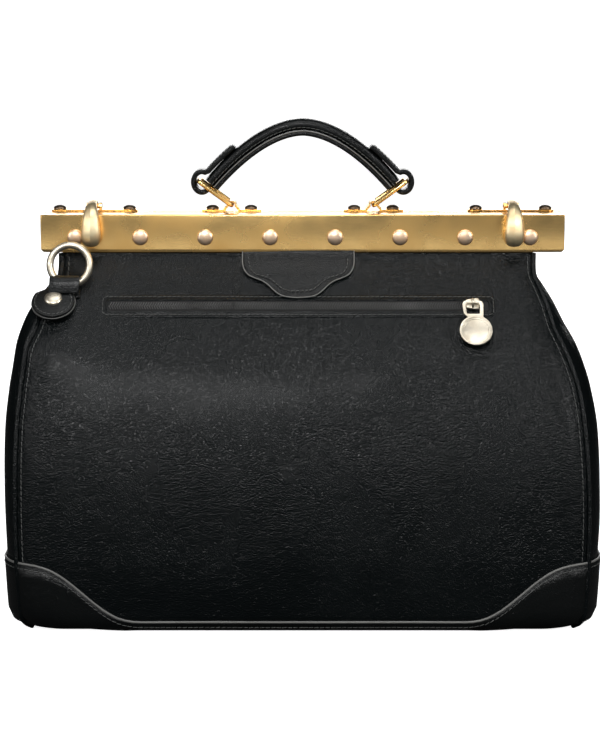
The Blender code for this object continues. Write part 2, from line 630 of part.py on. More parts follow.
for end, turn in (("left", -1), ("right", 1)):
    cx = turn * SADDLE_X
    top = FRAME_TOP + GAP
    upper = [(cx - 0.020, top), (cx - 0.0047, top)] + arc((cx, RING_LOW), 0.0021, 205, -25, 8)
    upper += [(cx + 0.0047, top), (cx + 0.020, top)]
    outer = [(cx + 0.020, top + 0.0010), (cx + 0.0057, top + 0.0010)] + arc((cx, RING_LOW), 0.0031, 0, 180, 8)
    outer += [(cx - 0.0057, top + 0.0010), (cx - 0.020, top + 0.0010)]
    prism("saddle_" + end, upper + outer, "y", HANDLE_Y - 0.0062, HANDLE_Y + 0.0062, BRASS_SATIN)
    for face, label in ((-1, "outer" if turn < 0 else "inner"), (1, "inner" if turn < 0 else "outer")):
        dome(f"saddle_rivet_{end}_{label}", (cx + face * 0.0130, HANDLE_Y, top + 0.0013), (0, 0, 1), 0.0042, 0.0026,
             0, 0, BRONZE_DARK, 14)

    # Rectangular ring from the saddle up to the chape
    low, high = Vector((cx, 0, RING_LOW)), Vector((turn * RING_HIGH_X, 0, RING_HIGH))
    rise = (high - low).normalized()
    span = (high - low).length
    reach = 0.0095
    corner = 0.0022
    ring = []
    for near, far, turned_from in ((0, -1, 270), (1, -1, 180), (1, 1, 90), (0, 1, 0)):
        centre = (far * (reach - corner), span - corner if near else corner)
        for y, s in arc(centre, corner, turned_from, turned_from - 90, 4):
            ring.append(low + rise * s + Vector((0, HANDLE_Y + y, 0)))
    swept("handle_ring_" + end, ring, 0.0015, BRASS_SATIN, closed=True, sides=8, side=Vector((0, 1, 0)).cross(rise))

    # Chape: a thick leather strap from the top of the grip out and round the ring's upper bar
    bar = Vector((turn * RING_HIGH_X, HANDLE_Y, RING_HIGH))
    top_out, top_in = [], []
    for x in (turn * 0.0600, turn * 0.0550, turn * 0.0480, turn * 0.0410):
        point, up = line_frame(x)
        top_out.append(point + up * 0.0080)
        top_in.append(point + up * 0.0055)

    def round_bar_arc(radius, start, stop, steps):
        if turn < 0:
            start, stop = 180 - start, 180 - stop
        return arc((bar.x, bar.z), radius, start, stop, steps)

    outline = [(p.x, p.z) for p in reversed(top_out)]
    outline += round_bar_arc(0.0060, 122, -160, 14)
    outline += round_bar_arc(0.0021, -165, 100, 10)
    outline += [(p.x, p.z) for p in top_in]
    prism("handle_chape_" + end, outline, "y", HANDLE_Y - 0.0072, HANDLE_Y + 0.0072, LEATHER_BLACK)

grip_path = [line_frame(x)[0] for x in spread(-GRIP_HALF_LENGTH, GRIP_HALF_LENGTH, 26)]
swept("handle_grip", grip_path, 0.0052, LEATHER_BLACK, sides=12, squash=1.5)
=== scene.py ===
"""Looks of a black leather doctor bag with a brass frame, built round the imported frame."""

import json
import math

import bpy
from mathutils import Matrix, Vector, noise


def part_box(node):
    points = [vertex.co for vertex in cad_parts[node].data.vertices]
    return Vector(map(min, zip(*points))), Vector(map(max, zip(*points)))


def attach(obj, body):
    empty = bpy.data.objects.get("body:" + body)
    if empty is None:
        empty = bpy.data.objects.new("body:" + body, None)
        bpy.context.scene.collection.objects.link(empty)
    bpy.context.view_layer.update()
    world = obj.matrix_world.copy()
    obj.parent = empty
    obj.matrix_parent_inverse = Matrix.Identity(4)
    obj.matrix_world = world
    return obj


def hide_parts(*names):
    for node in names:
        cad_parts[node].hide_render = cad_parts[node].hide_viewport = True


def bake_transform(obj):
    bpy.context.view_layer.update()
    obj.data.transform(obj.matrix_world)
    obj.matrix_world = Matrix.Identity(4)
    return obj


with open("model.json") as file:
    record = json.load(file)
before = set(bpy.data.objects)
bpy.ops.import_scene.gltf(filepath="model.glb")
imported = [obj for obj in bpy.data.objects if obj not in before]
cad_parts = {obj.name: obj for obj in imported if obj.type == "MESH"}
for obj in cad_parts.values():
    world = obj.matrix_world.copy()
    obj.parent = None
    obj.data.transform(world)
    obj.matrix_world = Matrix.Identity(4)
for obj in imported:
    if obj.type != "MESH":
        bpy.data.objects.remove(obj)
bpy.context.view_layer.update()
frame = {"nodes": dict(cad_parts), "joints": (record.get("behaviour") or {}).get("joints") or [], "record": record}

# ---- Camera, light and floor ------------------------------------------------------------------
# A pale studio: a camera a step away and a little above the frame, a key light above and in front, tall
# strips at both sides for the highlights on the leather and brass, a top and a back light, and a plain
# floor.
CAMERA_PLACE = Vector((0, -1.474, 0.430))
CAMERA_PITCH = math.radians(9.1)
camera_data = bpy.data.cameras.new("camera")
camera_data.lens = 105.4
camera_data.shift_x = -0.0035
camera_data.shift_y = -0.0785
camera = bpy.data.objects.new("camera", camera_data)
bpy.context.scene.collection.objects.link(camera)
camera.location = CAMERA_PLACE
camera.rotation_euler = (math.pi / 2 - CAMERA_PITCH, 0, 0)
bpy.context.scene.camera = camera
bpy.context.scene.view_settings.view_transform = "Standard"


def soft_light(name, place, target, size, power):
    data = bpy.data.lights.new(name, "AREA")
    data.shape = "RECTANGLE"
    data.size, data.size_y = size
    data.energy = power
    lamp = bpy.data.objects.new(name, data)
    bpy.context.scene.collection.objects.link(lamp)
    lamp.location = place
    lamp.rotation_euler = (Vector(target) - Vector(place)).to_track_quat("-Z", "Y").to_euler()


soft_light("light_key", (-0.16, -1.30, 0.98), (-0.05, -0.07, 0.15), (0.45, 0.22), 12)
soft_light("light_top", (0.05, -0.35, 1.70), (0, 0, 0.15), (1.2, 0.5), 9)
soft_light("light_left", (-1.25, -0.85, 0.80), (-0.1, 0, 0.20), (0.4, 0.9), 7)
soft_light("light_right", (1.20, -0.85, 0.90), (0.1, 0, 0.20), (0.4, 0.9), 11)
soft_light("light_back", (0.1, 2.0, 0.65), (0, 0, 0.22), (2.0, 0.5), 14)
FRONT_CARD = 0.07
world = bpy.data.worlds.new("studio")
world.use_nodes = True
sky = world.node_tree
seen = sky.nodes.new("ShaderNodeLightPath").outputs["Is Camera Ray"]
glow = sky.nodes.new("ShaderNodeMapRange")
glow.inputs["To Max"].default_value = 1.15
facing = sky.nodes.new("ShaderNodeSeparateXYZ")
sky.links.new(sky.nodes.new("ShaderNodeTexCoord").outputs["Generated"], facing.inputs["Vector"])
front_card = sky.nodes.new("ShaderNodeMapRange")
front_card.interpolation_type = "SMOOTHSTEP"
for label, value in (("From Min", 0.15), ("From Max", -0.95), ("To Min", 0.03), ("To Max", FRONT_CARD)):
    front_card.inputs[label].default_value = value
sky.links.new(facing.outputs["Y"], front_card.inputs["Value"])
sky.links.new(front_card.outputs["Result"], glow.inputs["To Min"])
sky.links.new(seen, glow.inputs["Value"])
sky.nodes["Background"].inputs["Color"].default_value = (1, 1, 1, 1)
sky.links.new(glow.outputs["Result"], sky.nodes["Background"].inputs["Strength"])
bpy.context.scene.world = world


def deselect():
    bpy.ops.object.select_all(action="DESELECT")


deselect()
bpy.ops.mesh.primitive_grid_add(x_subdivisions=40, y_subdivisions=40, size=8)
floor = bpy.context.object
floor.name = "floor"
FLOOR_RISE = 2.2
for vertex in floor.data.vertices:
    vertex.co.z = -0.0002 + 0.35 * max(0.0, vertex.co.y - FLOOR_RISE) ** 2
floor.data.shade_smooth()


# ---- Materials' shared patterns ---------------------------------------------------------------
# Leather grain, metal wear and woven cloth are each one node group, placed with its own values in each
# finish.
def new_group(name, inputs, outputs):
    group = bpy.data.node_groups.new(name, "ShaderNodeTree")
    for label, value in inputs:
        socket = group.interface.new_socket(label, in_out="INPUT", socket_type="NodeSocketFloat")
        socket.default_value = value
    for label, kind in outputs:
        group.interface.new_socket(label, in_out="OUTPUT", socket_type=kind)
    entry, leave = group.nodes.new("NodeGroupInput"), group.nodes.new("NodeGroupOutput")
    return group, entry, leave


def join(tree, source, target):
    tree.links.new(source, target)


def ramp_node(tree, source, low, high):
    """Map a 0 to 1 value onto low to high."""
    node = tree.nodes.new("ShaderNodeMapRange")
    node.inputs["To Min"].default_value = low
    node.inputs["To Max"].default_value = high
    join(tree, source, node.inputs["Value"])
    return node.outputs["Result"]


def noise_node(tree, vector, scale, detail=3.0, roughness=0.55):
    node = tree.nodes.new("ShaderNodeTexNoise")
    node.inputs["Scale"].default_value = scale
    node.inputs["Detail"].default_value = detail
    node.inputs["Roughness"].default_value = roughness
    join(tree, vector, node.inputs["Vector"])
    return node.outputs["Fac"]


def maths(tree, operation, a, b):
    node = tree.nodes.new("ShaderNodeMath")
    node.operation = operation
    for socket, value in zip(node.inputs, (a, b)):
        if isinstance(value, (int, float)):
            socket.default_value = value
        else:
            join(tree, value, socket)
    return node.outputs[0]


def make_leather_grain():
    """Fine pebbles with creases between them, and broad wear. Puts out a mask, a roughness and a normal."""
    group, entry, leave = new_group(
        "leather_grain",
        [("Pebble Scale", 900.0), ("Pebble Depth", 0.35), ("Crease Depth", 0.3), ("Gloss Low", 0.24),
         ("Gloss High", 0.42)],
        [("Wear", "NodeSocketFloat"), ("Roughness", "NodeSocketFloat"), ("Normal", "NodeSocketVector")])
    nodes = group.nodes
    place = nodes.new("ShaderNodeTexCoord").outputs["Object"]
    bend = nodes.new("ShaderNodeTexNoise")
    bend.inputs["Scale"].default_value = 260
    join(group, place, bend.inputs["Vector"])
    warp = nodes.new("ShaderNodeMixRGB")
    warp.blend_type = "LINEAR_LIGHT"
    warp.inputs["Fac"].default_value = 0.0012
    join(group, place, warp.inputs["Color1"])
    join(group, bend.outputs["Color"], warp.inputs["Color2"])
    pebbles = nodes.new("ShaderNodeTexVoronoi")
    pebbles.feature = "SMOOTH_F1"
    pebbles.inputs["Smoothness"].default_value = 0.35
    join(group, warp.outputs["Color"], pebbles.inputs["Vector"])
    join(group, entry.outputs["Pebble Scale"], pebbles.inputs["Scale"])
    creases = nodes.new("ShaderNodeTexVoronoi")
    creases.feature = "DISTANCE_TO_EDGE"
    creases.inputs["Scale"].default_value = 420
    join(group, warp.outputs["Color"], creases.inputs["Vector"])
    crease_line = nodes.new("ShaderNodeMapRange")
    crease_line.inputs["From Max"].default_value = 0.12
    join(group, creases.outputs["Distance"], crease_line.inputs["Value"])
    broad = noise_node(group, place, 14, 4)
    patches = noise_node(group, place, 55, 3)
    bump = nodes.new("ShaderNodeBump")
    bump.inputs["Distance"].default_value = 0.00030
    join(group, entry.outputs["Pebble Depth"], bump.inputs["Strength"])
    height = maths(group, "SUBTRACT", 1.0, pebbles.outputs["Distance"])
    join(group, height, bump.inputs["Height"])
    second = nodes.new("ShaderNodeBump")
    second.inputs["Distance"].default_value = 0.0003
    depth = maths(group, "MULTIPLY", entry.outputs["Crease Depth"], ramp_node(group, patches, -0.4, 1.3))
    join(group, depth, second.inputs["Strength"])
    join(group, crease_line.outputs["Result"], second.inputs["Height"])
    join(group, bump.outputs["Normal"], second.inputs["Normal"])
    third = nodes.new("ShaderNodeBump")
    third.inputs["Distance"].default_value = 0.0025
    third.inputs["Strength"].default_value = 0.16
    join(group, patches, third.inputs["Height"])
    join(group, second.outputs["Normal"], third.inputs["Normal"])
    gloss = nodes.new("ShaderNodeMapRange")
    gloss.inputs["From Min"].default_value = 0.3
    gloss.inputs["From Max"].default_value = 0.7
    join(group, broad, gloss.inputs["Value"])
    join(group, entry.outputs["Gloss Low"], gloss.inputs["To Min"])
    join(group, entry.outputs["Gloss High"], gloss.inputs["To Max"])
    join(group, broad, leave.inputs["Wear"])
    join(group, gloss.outputs["Result"], leave.inputs["Roughness"])
    join(group, third.outputs["Normal"], leave.inputs["Normal"])
    return group


def make_metal_wear():
    """Fine brushing along x and cloudy tarnish. Puts out a tarnish mask, a roughness and a normal."""
    group, entry, leave = new_group(
        "metal_wear",
        [("Brush Depth", 0.1), ("Cloud Scale", 60.0), ("Rough Low", 0.22), ("Rough High", 0.40)],
        [("Tarnish", "NodeSocketFloat"), ("Roughness", "NodeSocketFloat"), ("Normal", "NodeSocketVector")])
    nodes = group.nodes
    place = nodes.new("ShaderNodeTexCoord").outputs["Object"]
    stretch = nodes.new("ShaderNodeMapping")
    stretch.inputs["Scale"].default_value = (0.03, 1, 1)
    join(group, place, stretch.inputs["Vector"])
    lines = noise_node(group, stretch.outputs["Vector"], 2600, 2)
    clouds = nodes.new("ShaderNodeTexNoise")
    clouds.inputs["Detail"].default_value = 5
    join(group, place, clouds.inputs["Vector"])
    join(group, entry.outputs["Cloud Scale"], clouds.inputs["Scale"])
    bump = nodes.new("ShaderNodeBump")
    bump.inputs["Distance"].default_value = 0.00005
    join(group, entry.outputs["Brush Depth"], bump.inputs["Strength"])
    join(group, lines, bump.inputs["Height"])
    gloss = nodes.new("ShaderNodeMapRange")
    gloss.inputs["From Min"].default_value = 0.35
    gloss.inputs["From Max"].default_value = 0.7
    join(group, clouds.outputs["Fac"], gloss.inputs["Value"])
    join(group, entry.outputs["Rough Low"], gloss.inputs["To Min"])
    join(group, entry.outputs["Rough High"], gloss.inputs["To Max"])
    tarnish = nodes.new("ShaderNodeMapRange")
    tarnish.inputs["From Min"].default_value = 0.4
    tarnish.inputs["From Max"].default_value = 0.75
    join(group, clouds.outputs["Fac"], tarnish.inputs["Value"])
    join(group, tarnish.outputs["Result"], leave.inputs["Tarnish"])
    join(group, gloss.outputs["Result"], leave.inputs["Roughness"])
    join(group, bump.outputs["Normal"], leave.inputs["Normal"])
    return group


def make_weave():
    """Plain weave: two crossed waves. Puts out a mask and a normal."""
    group, entry, leave = new_group("weave", [("Threads", 1800.0), ("Depth", 0.6)],
                                    [("Mask", "NodeSocketFloat"), ("Normal", "NodeSocketVector")])
    nodes = group.nodes
    place = nodes.new("ShaderNodeTexCoord").outputs["Object"]
    bands = []
    for direction in ("X", "Z"):
        wave = nodes.new("ShaderNodeTexWave")
        wave.bands_direction = direction
        join(group, place, wave.inputs["Vector"])
        join(group, entry.outputs["Threads"], wave.inputs["Scale"])
        bands.append(wave.outputs["Fac"])
    mask = maths(group, "MULTIPLY", bands[0], bands[1])
    bump = nodes.new("ShaderNodeBump")
    bump.inputs["Distance"].default_value = 0.0002
    join(group, entry.outputs["Depth"], bump.inputs["Strength"])
    join(group, mask, bump.inputs["Height"])
    join(group, mask, leave.inputs["Mask"])
    join(group, bump.outputs["Normal"], leave.inputs["Normal"])
    return group


LEATHER_GRAIN, METAL_WEAR, WEAVE = make_leather_grain(), make_metal_wear(), make_weave()


def finish(name, group, mask, dark, light, values, metallic=0.0, coat=0.0, sheen=0.0, roughness=None,
           shine=0.5):
    """A finish: two colours mixed by the group's mask, with the group's roughness and normal."""
    material = bpy.data.materials.new(name)
    material.use_nodes = True
    tree = material.node_tree
    shader = tree.nodes["Principled BSDF"]
    shader.inputs["Metallic"].default_value = metallic
    shader.inputs["Coat Weight"].default_value = coat
    shader.inputs["Specular IOR Level"].default_value = shine
    shader.inputs["Coat Roughness"].default_value = 0.18
    shader.inputs["Sheen Weight"].default_value = sheen
    pattern = tree.nodes.new("ShaderNodeGroup")
    pattern.node_tree = group
    for label, value in values.items():
        pattern.inputs[label].default_value = value
    colors = tree.nodes.new("ShaderNodeMixRGB")
    colors.inputs["Color1"].default_value = (*dark, 1)
    colors.inputs["Color2"].default_value = (*light, 1)
    join(tree, pattern.outputs[mask], colors.inputs["Fac"])
    join(tree, colors.outputs["Color"], shader.inputs["Base Color"])
    join(tree, pattern.outputs["Normal"], shader.inputs["Normal"])
    if roughness is None:
        join(tree, pattern.outputs["Roughness"], shader.inputs["Roughness"])
    else:
        shader.inputs["Roughness"].default_value = roughness
    return material


BLACK_LEATHER = finish("black_leather", LEATHER_GRAIN, "Wear",
                       (0.0008, 0.0014, 0.0016), (0.0025, 0.0040, 0.0044),
                       {"Pebble Scale": 1050, "Pebble Depth": 1.0, "Crease Depth": 0.35, "Gloss Low": 0.20,
                        "Gloss High": 0.32}, coat=0.02, shine=0.16)
STRAP_LEATHER = finish("strap_leather", LEATHER_GRAIN, "Wear",
                       (0.0012, 0.0016, 0.0018), (0.005, 0.006, 0.006),
                       {"Pebble Scale": 1300, "Pebble Depth": 0.6, "Crease Depth": 0.25, "Gloss Low": 0.22,
                        "Gloss High": 0.34}, coat=0.05, shine=0.2)
# Edge paint: partly the paint's own grey and partly painted sheen, lighter to stand in for the sheen along the
# edges.
EDGE_PAINT_AND_SHEEN = finish("edge_paint_and_sheen", LEATHER_GRAIN, "Wear", (0.05, 0.05, 0.048), (0.20, 0.20, 0.19),
                    {"Pebble Scale": 2200, "Pebble Depth": 0.25, "Gloss Low": 0.35, "Gloss High": 0.5})
SATIN_BRASS = finish("satin_brass", METAL_WEAR, "Tarnish", (0.98, 0.66, 0.26), (0.84, 0.50, 0.16),
                     {"Brush Depth": 0.25, "Cloud Scale": 26, "Rough Low": 0.22, "Rough High": 0.33}, 1.0)
ROSE_BRASS = finish("rose_brass", METAL_WEAR, "Tarnish", (1.0, 0.76, 0.55), (0.80, 0.54, 0.34),
                    {"Brush Depth": 0.1, "Cloud Scale": 180, "Rough Low": 0.36, "Rough High": 0.5}, 1.0)
# Claw brass: partly its own colour and partly painted light, paler than the frame to make up for the dark
# surroundings the claws reflect.
CLAW_BRASS_PAINTED_LIGHT = finish("claw_brass_painted_light", METAL_WEAR, "Tarnish", (0.98, 0.82, 0.52), (0.84, 0.58, 0.30),
                    {"Brush Depth": 0.1, "Cloud Scale": 110, "Rough Low": 0.40, "Rough High": 0.55}, 1.0)
DARK_BRONZE = finish("dark_bronze_finish", METAL_WEAR, "Tarnish", (0.17, 0.12, 0.08), (0.05, 0.035, 0.025),
                     {"Cloud Scale": 300, "Rough Low": 0.25, "Rough High": 0.45}, 1.0)
PALE_NICKEL = finish("pale_nickel_finish", METAL_WEAR, "Tarnish", (0.74, 0.68, 0.56), (0.50, 0.44, 0.34),
                     {"Cloud Scale": 150, "Rough Low": 0.32, "Rough High": 0.48}, 1.0)
ZINC_STEEL = finish("zinc_steel", METAL_WEAR, "Tarnish", (0.55, 0.56, 0.57), (0.35, 0.35, 0.36),
                    {"Cloud Scale": 200, "Rough Low": 0.3, "Rough High": 0.5}, 1.0)
LINING_CLOTH = finish("lining_cloth", WEAVE, "Mask", (0.055, 0.042, 0.03), (0.13, 0.10, 0.07),
                      {"Threads": 700}, sheen=0.2, roughness=0.85)
ZIP_CLOTH = finish("zip_cloth", WEAVE, "Mask", (0.004, 0.004, 0.004), (0.014, 0.014, 0.014), {"Threads": 900},
                   roughness=0.8)
COIL_PLASTIC = finish("coil_plastic", METAL_WEAR, "Tarnish", (0.07, 0.07, 0.07), (0.15, 0.15, 0.15),
                      {"Rough Low": 0.25, "Rough High": 0.4})
# Thread: partly its own grey and partly painted highlight, lightened to stand in for the glints along the
# stitches.
THREAD_PAINTED_GLINT = finish("thread", WEAVE, "Mask", (0.06, 0.064, 0.062), (0.20, 0.20, 0.19), {"Threads": 3000},
                roughness=0.6)
FIBRE_BOARD = finish("fibre_board", WEAVE, "Mask", (0.12, 0.09, 0.06), (0.2, 0.16, 0.11), {"Threads": 300},
                     roughness=0.9)
FLOOR_CARD = 1.2
paper = finish("studio_paper", WEAVE, "Mask", (0.86, 0.86, 0.86), (0.90, 0.90, 0.90),
               {"Threads": 40, "Depth": 0.02}, roughness=0.9)
paper_tree = paper.node_tree
paper_seen = paper_tree.nodes.new("ShaderNodeLightPath").outputs["Is Camera Ray"]
paper_place = paper_tree.nodes.new("ShaderNodeSeparateXYZ")
join(paper_tree, paper_tree.nodes.new("ShaderNodeTexCoord").outputs["Object"], paper_place.inputs["Vector"])
paper_front = paper_tree.nodes.new("ShaderNodeMapRange")
paper_front.interpolation_type = "SMOOTHSTEP"
for label, value in (("From Min", -0.9), ("From Max", -1.8), ("To Min", 0.0), ("To Max", FLOOR_CARD)):
    paper_front.inputs[label].default_value = value
join(paper_tree, paper_place.outputs["Y"], paper_front.inputs["Value"])
paper_glow_node = paper_tree.nodes.new("ShaderNodeMapRange")
paper_glow_node.inputs["To Max"].default_value = 0.95
join(paper_tree, paper_seen, paper_glow_node.inputs["Value"])
join(paper_tree, paper_front.outputs["Result"], paper_glow_node.inputs["To Min"])
paper_glow = paper_glow_node.outputs["Result"]
paper_shader = paper_tree.nodes["Principled BSDF"]
paper_color = paper_tree.nodes.new("ShaderNodeMixRGB")
paper_color.inputs["Color1"].default_value = (0.03, 0.03, 0.03, 1)
paper_color.inputs["Color2"].default_value = (0.88, 0.88, 0.88, 1)
join(paper_tree, paper_seen, paper_color.inputs["Fac"])
join(paper_tree, paper_color.outputs["Color"], paper_shader.inputs["Base Color"])
paper_shader.inputs["Emission Color"].default_value = (1, 1, 1, 1)
join(paper_tree, paper_glow, paper_shader.inputs["Emission Strength"])
floor.data.materials.append(paper)

for node_name, node in frame["nodes"].items():
    slots = {row["node"]: row["material_slot"] for row in frame["record"]["subparts"]}
    finishes = {"leather": BLACK_LEATHER, "lining_fabric": LINING_CLOTH, "base_board": FIBRE_BOARD,
                "zip_tape": ZIP_CLOTH, "frame_brass": SATIN_BRASS, "rivet_brass": ROSE_BRASS,
                "dark_bronze": DARK_BRONZE, "pale_nickel": PALE_NICKEL, "steel": ZINC_STEEL}
    node.data.materials.clear()
    node.data.materials.append(finishes[slots[node_name]])


# ---- The bag's leather body -------------------------------------------------------------------
# Cut panels of black pebbled cowhide over a cloth lining: a front and a back panel that run from the base
# up into the brass frame, and an end of two halves at each side, sewn to the panels with piping in the
# seam.
FRAME_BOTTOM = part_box("front_frame")[0].z
FRAME_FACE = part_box("front_frame")[0].y
HIDE = 0.0016
SEAM_ANGLE = math.radians(42)
BASE_ROLL = 0.011
WIDTHS = [(0.0, 0.1925), (0.016, 0.194), (0.075, 0.1965), (0.128, 0.1945), (0.154, 0.191), (0.168, 0.187),
          (0.181, 0.182), (0.193, 0.176), (0.2085, 0.169), (0.219, 0.163), (0.226, 0.159), (0.245, 0.157)]
DEPTHS = [(0.0, 0.095), (0.05, 0.093), (0.10, 0.086), (0.14, 0.075), (0.18, 0.058), (0.2067, 0.040),
          (0.225, 0.026), (0.2385, 0.0160), (0.245, 0.0150)]


def table_value(table, height):
    """Smooth value at a height: a Catmull-Rom curve through the table's points."""
    heights = [row[0] for row in table]
    i = max(0, min(len(table) - 2, sum(height >= level for level in heights) - 1))
    span = heights[i + 1] - heights[i]
    t = min(1.0, max(0.0, (height - heights[i]) / span))
    slopes = []
    for k in (i, i + 1):
        low, high = max(0, k - 1), min(len(table) - 1, k + 1)
        slopes.append((table[high][1] - table[low][1]) / (heights[high] - heights[low]) * span)
    a, b = table[i][1], table[i + 1][1]
    return ((2 * t**3 - 3 * t**2 + 1) * a + (t**3 - 2 * t**2 + t) * slopes[0]
            + (3 * t**2 - 2 * t**3) * b + (t**3 - t**2) * slopes[1])


def base_inset(height):
    """How far the body pulls in near the floor, where the leather rolls under."""
    if height >= BASE_ROLL:
        return 0.0
    return BASE_ROLL - math.sqrt(max(0.0, BASE_ROLL**2 - (BASE_ROLL - height) ** 2))


def half_width(height):
    return table_value(WIDTHS, height) - base_inset(height)


def half_depth(height):
    return table_value(DEPTHS, height) - base_inset(height)


def corner_radius(height):
    return min(0.030, half_depth(height) * 0.6)


def wave(x, y, z, scale, seed):
    return noise.noise(Vector((x * scale + seed, y * scale - seed, z * scale + 2 * seed)))


def leather_swell(point, side):
    """How far the soft leather stands out of or in from its cut shape."""
    x, y, z = point
    calm = max(0.0, min(1.0, (0.235 - z) / 0.05))
    swell = 0.0011 * wave(x, y, z, 9, side) + 0.0006 * wave(x, y, z, 23, side + 3) * calm
    return swell * max(0.0, min(1.0, z / 0.03)) * (0.35 + 0.65 * calm)


def plan_point(height, along):
    """Plan outline in the +x, -y quarter: along is 0 mid panel, 1 at the seam and 2 mid end."""
    width, depth, radius = half_width(height), half_depth(height), corner_radius(height)
    flat = width - radius
    if along <= 1:
        reach = along * (flat + radius * SEAM_ANGLE)
        angle = max(0.0, (reach - flat) / radius)
        x = min(reach, flat) + radius * math.sin(angle)
    else:
        rest = radius * (math.pi / 2 - SEAM_ANGLE) + depth - radius
        reach = (along - 1) * rest
        angle = min(math.pi / 2, SEAM_ANGLE + reach / radius)
        x = flat + radius * math.sin(angle)
        over = reach - radius * (math.pi / 2 - SEAM_ANGLE)
        if over > 0:
            return Vector((x, -(depth - radius) + over, height)), Vector((1, 0, 0))
    y = -(depth - radius) - radius * math.cos(angle)
    return Vector((x, y, height)), Vector((math.sin(angle), -math.cos(angle), 0))


def lean(height, out):
    """Tilt a level outward direction to stand square on the leather."""
    step = 0.0015
    low, high = max(0.0, height - step), height + step
    depth_change = (half_depth(high) - half_depth(low)) / (high - low)
    width_change = (half_width(high) - half_width(low)) / (high - low)
    return Vector((out.x, out.y, -(depth_change * abs(out.y) + width_change * abs(out.x)))).normalized()


def skin_point(height, along, side=0.0, lift=0.0):
    """Point on the soft leather; a negative along is its mirror image at -x."""
    point, out = plan_point(height, abs(along))
    if along < 0:
        point.x, out.x = -point.x, -out.x
    normal = lean(height, out)
    return point + normal * (leather_swell(point, side) + lift), normal


def settle(point):
    """Push a point of the skin out where the leather bulges: left shoulder, and behind the back ring."""
    x, y, z = point
    fade = max(0.0, min(1.0, (0.236 - z) / 0.014))
    left = max(0.0, min(1.0, (-x - 0.105) / 0.065)) ** 2
    shoulder = 0.0115 * math.exp(-(min(0.0, z - 0.200) / 0.030) ** 2)
    waist = 0.0025 * math.exp(-((z - 0.150) / 0.040) ** 2)
    reach = (shoulder + waist) * left
    forward = -0.75 if y < 0 else 0.35
    back = 0.007 * math.exp(-((x - 0.138) / 0.026) ** 2 - ((z - 0.203) / 0.020) ** 2) if y > 0.01 else 0.0
    share = min(1.0, abs(y) / 0.02)
    return Vector((x - reach, y + (reach * forward * share + back) * fade, z))


def settle_piece(piece):
    for vertex in piece.data.vertices:
        vertex.co = settle(vertex.co)


def activate(piece):
    deselect()
    piece.select_set(True)
    bpy.context.view_layer.objects.active = piece


def apply_all(piece):
    activate(piece)
    for modifier in list(piece.modifiers):
        bpy.ops.object.modifier_apply(modifier=modifier.name)


def draped_grid(name, columns, rows, place, outward):
    """A grid primitive whose points are moved to place(u, v), with its faces turned to face outward."""
    deselect()
    bpy.ops.mesh.primitive_grid_add(x_subdivisions=columns, y_subdivisions=rows, size=2)
    sheet = bpy.context.object
    sheet.name = name
    for vertex in sheet.data.vertices:
        vertex.co = place((vertex.co.x + 1) / 2, (vertex.co.y + 1) / 2)
    sheet.data.update()
    middle = sheet.data.polygons[len(sheet.data.polygons) // 2]
    if middle.normal.dot(Vector(outward)) < 0:
        sheet.data.flip_normals()
    return sheet


def thicken(piece, thickness, offset=-1.0, inner=None):
    wall = piece.modifiers.new("wall", "SOLIDIFY")
    wall.thickness = thickness
    wall.offset = offset
    wall.use_even_offset = True
    if inner:
        piece.data.materials.append(inner)
        wall.material_offset = 1
        wall.material_offset_rim = 0
    apply_all(piece)
    piece.data.shade_smooth()


def bend_with_frame(piece):
    """Bake the piece's placement into its mesh."""
    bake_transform(piece)


PANEL_TOP = 0.2435
for side, sign in (("front", 1), ("back", -1)):
    seed = 1.0 if side == "front" else 6.0

    def on_panel(u, v):
        height = PANEL_TOP * (0.15 * v + 0.85 * v ** 1.35) if v > 0 else 0.0
        point = skin_point(height, u * 2 - 1, seed)[0]
        return Vector((point.x, point.y * sign, point.z))

    panel = draped_grid(side + "_panel", 150, 120, on_panel, (0, -sign, 0))
    panel.data.materials.append(BLACK_LEATHER)
    thicken(panel, HIDE, inner=LINING_CLOTH)
    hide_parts(side + "_panel_lower", side + "_panel_upper")
    settle_piece(panel)
    bend_with_frame(panel)

GUSSET_TOP = 0.2385
for side, sign in (("front", 1), ("back", -1)):
    for end, turn in (("left", -1), ("right", 1)):
        seed = 3.0 + turn

        def on_gusset(u, v):
            height = GUSSET_TOP * (0.15 * v + 0.85 * v ** 1.2) if v > 0 else 0.0
            point = skin_point(height, 1 + u, seed)[0]
            fold = max(0.0, min(1.0, (height - 0.10) / 0.10))
            crease = math.exp(-((point.y / 0.016) ** 2)) * fold * 0.0045
            return Vector(((point.x - crease) * turn, min(point.y, -0.0001) * sign, point.z))

        gusset = draped_grid(f"{side}_end_{end}", 50, 90, on_gusset, (turn, 0, 0))
        gusset.data.materials.append(BLACK_LEATHER)
        thicken(gusset, HIDE, inner=LINING_CLOTH)
        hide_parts(f"{side}_gusset_{end}")
        if side == "front":
            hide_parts(f"gusset_{end}_lower")
        settle_piece(gusset)
        bend_with_frame(gusset)

# Folds of the bag's ends: a strip of leather behind each end's opening, from the middle to the frame's leg.
for side, sign in (("front", 1), ("back", -1)):
    for end, turn in (("left", -1), ("right", 1)):

        def on_fold(u, v):
            height = 0.150 + (0.2375 - 0.150) * v
            width = half_width(height) - 0.0052 - 0.0035 * (1 - u)
            reach = min(0.020, half_depth(height) - 0.003)
            return Vector((width * turn, -u * reach * sign, height))

        fold = draped_grid(f"{side}_fold_{end}", 24, 30, on_fold, (turn, 0, 0))
        fold.data.materials.append(BLACK_LEATHER)
        thicken(fold, 0.0008, inner=LINING_CLOTH)
        settle_piece(fold)
        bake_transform(fold)
